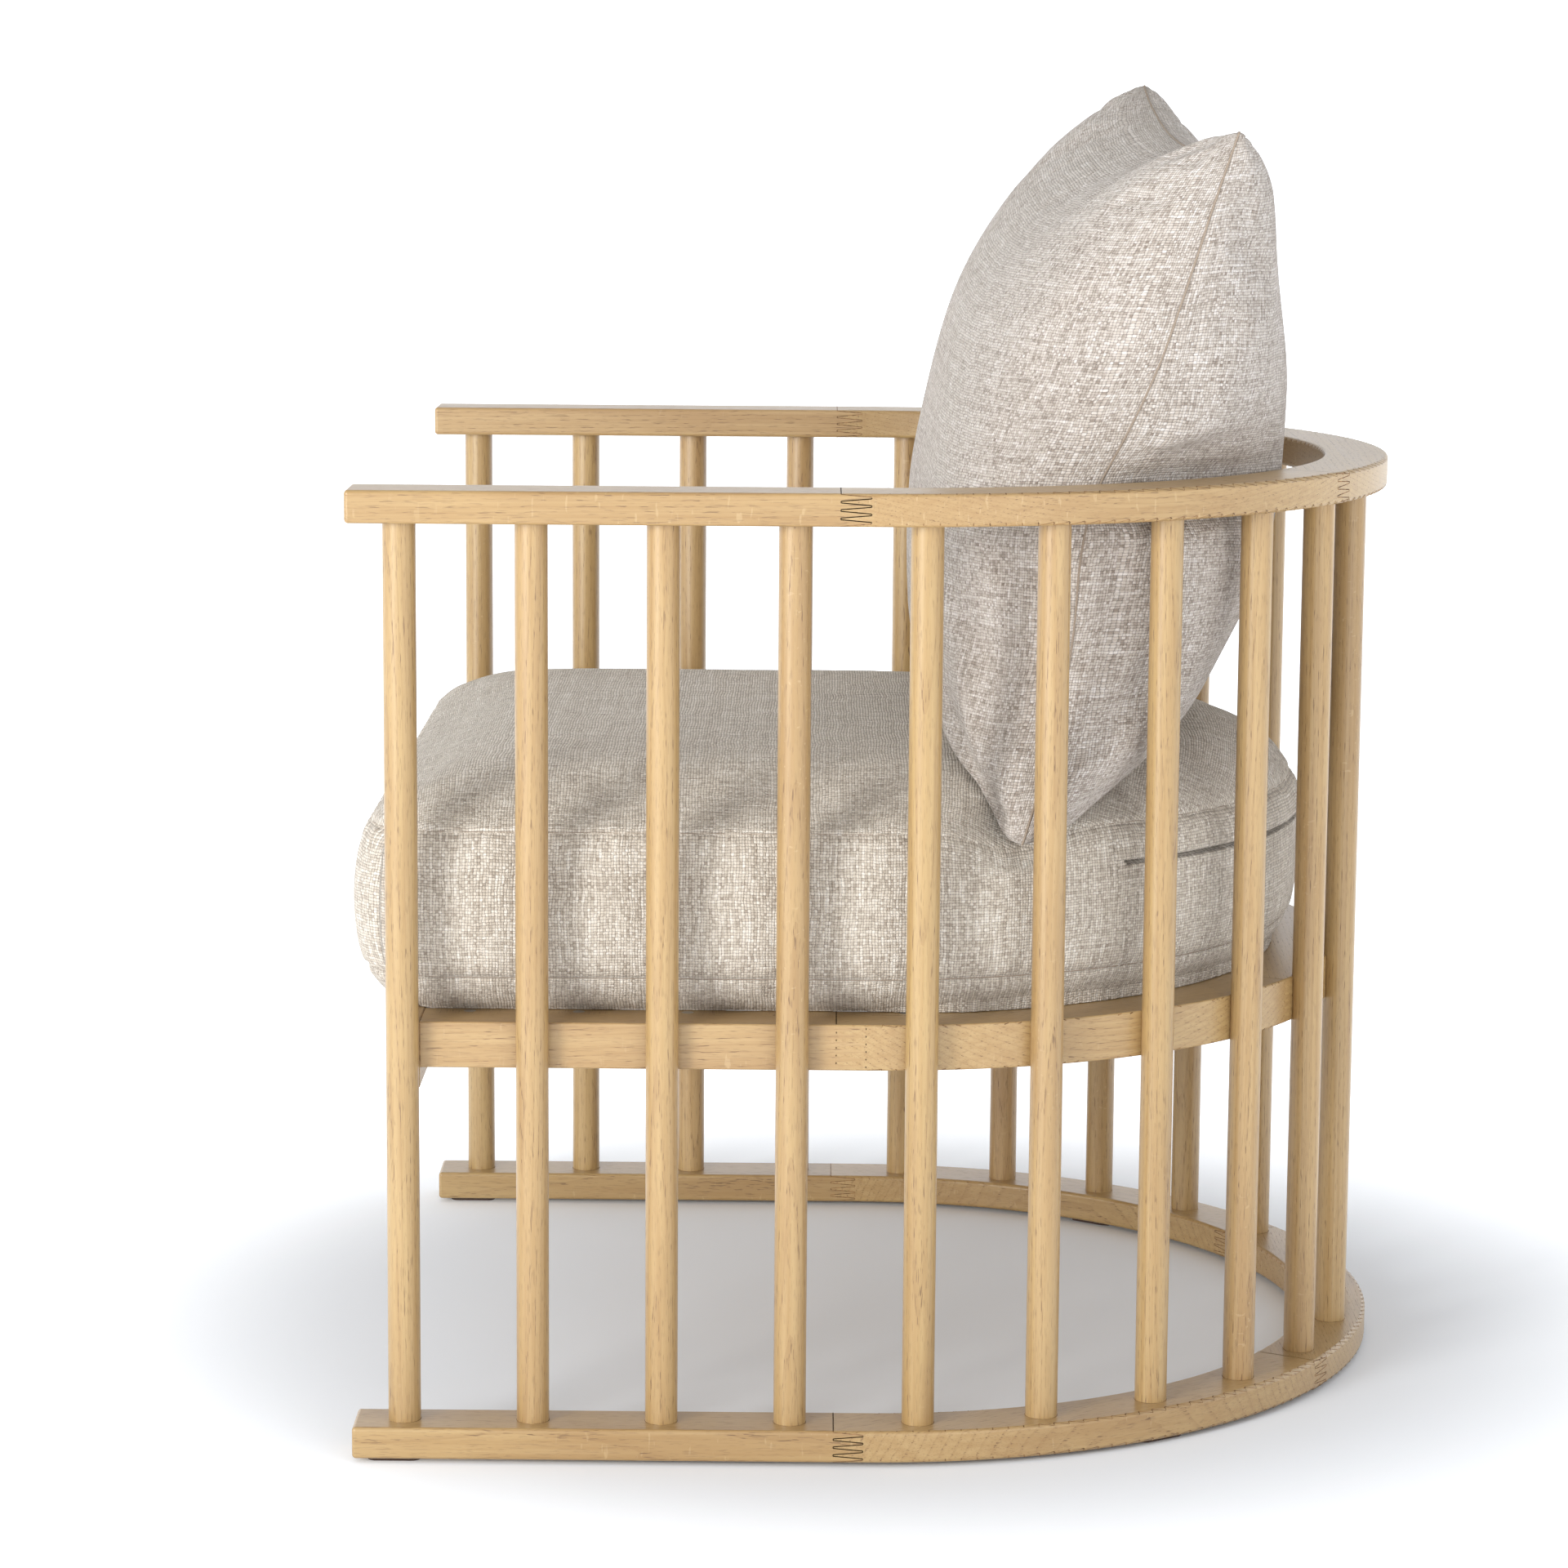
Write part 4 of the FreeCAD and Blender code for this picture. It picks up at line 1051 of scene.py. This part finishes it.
pillow, rim, grid = pillow_mesh()
inflate(pillow, rim, pressure=4.0, grow=0.020, cap=0.010)
apply_modifier(pillow, "SUBSURF", levels=1, render_levels=1)
crease(pillow)
edge_loop = np.concatenate([grid[:-1, 0], grid[-1, :-1], grid[:0:-1, -1], grid[0, :0:-1]])
pillow_points = points_of(pillow)
seam_line = pillow_points[edge_loop]
# painted shade: the dark cord along the pillow's seam stands for the shadow in its crease
seam_tube = tube("back_pillow_seam", seam_line, radius=0.0008, material=seam_cord_shade)


# ---------------------------------------------------------------- bodies, soft pieces
def declare(obj, body, slot, *nodes):
    """Says which body a piece rides on, and which CAD nodes it stands for. The slot, its finish,
    is not used.
    """
    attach(obj, body)
    if nodes:
        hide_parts(*nodes)


declare(cushion, "seat_cushion", "weave", "seat_cushion_cover", "seat_cushion_core")
declare(lap, "seat_cushion", "weave")
for seam in seams:
    declare(seam, "seat_cushion", "weave")
declare(pillow, "back_pillow", "weave", "back_pillow_cover", "back_pillow_insert")
declare(seam_tube, "back_pillow", "weave")
zip_metal = steel("zip_metal", tone=(0.55, 0.53, 0.50), rough=0.3)
give("zip_slider", zip_metal)
give("seat_cushion_zip", felt("zip_tape"))


# ---------------------------------------------------------------- studio
def floor():
    """A pale disc that curves up at its rim, and glows a little away from the chair."""
    t = Tree("studio_floor")
    grain = t.noise(t.position(), 3.0, 2.0)[0]
    t.put(t.shader.inputs["Base Color"], t.mix(grain, (0.85, 0.885, 0.935), (0.87, 0.90, 0.945)))
    away = t.vector("LENGTH", t.position())
    t.shader.inputs["Emission Color"].default_value = (1.0, 1.0, 1.0, 1.0)
    t.put(t.shader.inputs["Emission Strength"], t.between(away, 0.37, 0.85, 0.0, 0.70))
    t.shader.inputs["Roughness"].default_value = 0.9
    t.shader.inputs["Specular IOR Level"].default_value = 0.1
    around = 96
    section = [(2.0, 0.0), (5.0, 0.0), (8.0, 0.0), (9.5, 0.0), (10.5, 0.1), (11.5, 0.5),
               (12.2, 1.4), (12.3, 3.5)]
    points = [(r * math.cos(2 * math.pi * k / around), r * math.sin(2 * math.pi * k / around), z)
              for r, z in section for k in range(around)]
    faces = [tuple(range(around))]
    for i in range(len(section) - 1):
        for k in range(around):
            m = (k + 1) % around
            faces.append((i * around + m, i * around + k, (i + 1) * around + k,
                          (i + 1) * around + m))
    new_object("floor", points, faces, t.material)


def area_light(name, place, target, size, power, tint):
    lamp = bpy.data.lights.new(name, "AREA")
    lamp.shape, lamp.size = "DISK", size
    lamp.energy, lamp.color = power, tint
    obj = bpy.data.objects.new(name, lamp)
    SCENE.collection.objects.link(obj)
    obj.location = place
    aim = Vector(target) - Vector(place)
    obj.rotation_euler = aim.to_track_quat("-Z", "Y").to_euler()


def turned(a, b, angle):
    """Two unit vectors turned in their own plane, a towards b."""
    return (a * math.cos(angle) + b * math.sin(angle),
            b * math.cos(angle) - a * math.sin(angle))


CAMERA_PLACE = (3.34515, -0.05316, 0.93967)
CAMERA_YAW, CAMERA_PITCH, CAMERA_ROLL = -0.006878, 0.158024, 0.006628
CAMERA_LENS = 104.66


def studio_camera():
    """At the chair's right side, 3.3 m away, looking slightly down."""
    ahead, right, up = Vector((-1, 0, 0)), Vector((0, 1, 0)), Vector((0, 0, 1))
    ahead, right = turned(ahead, right, CAMERA_YAW)
    up, ahead = turned(up, ahead, CAMERA_PITCH)
    right, up = turned(right, up, CAMERA_ROLL)
    data = bpy.data.cameras.new("camera")
    data.lens, data.sensor_width = CAMERA_LENS, 36.0
    camera = bpy.data.objects.new("camera", data)
    SCENE.collection.objects.link(camera)
    turn = Matrix((right, up, -ahead)).transposed()
    camera.matrix_world = Matrix.Translation(CAMERA_PLACE) @ turn.to_4x4()
    SCENE.camera = camera


floor()
area_light("key", place=(3.5, -2.7, 1.35), target=(0.0, 0.0, 0.40), size=1.6, power=124.0,
           tint=(1.0, 0.99, 0.97))
area_light("fill", place=(2.9, 1.6, 1.3), target=(0.0, 0.0, 0.4), size=2.0, power=14.0,
           tint=(0.97, 0.98, 1.0))
world = bpy.data.worlds.new("studio")
SCENE.world = world
world.use_nodes = True
background = world.node_tree.nodes["Background"]
background.inputs["Color"].default_value = (0.98, 0.99, 1.0, 1.0)
background.inputs["Strength"].default_value = 0.74
SCENE.view_settings.view_transform = "Standard"
studio_camera()
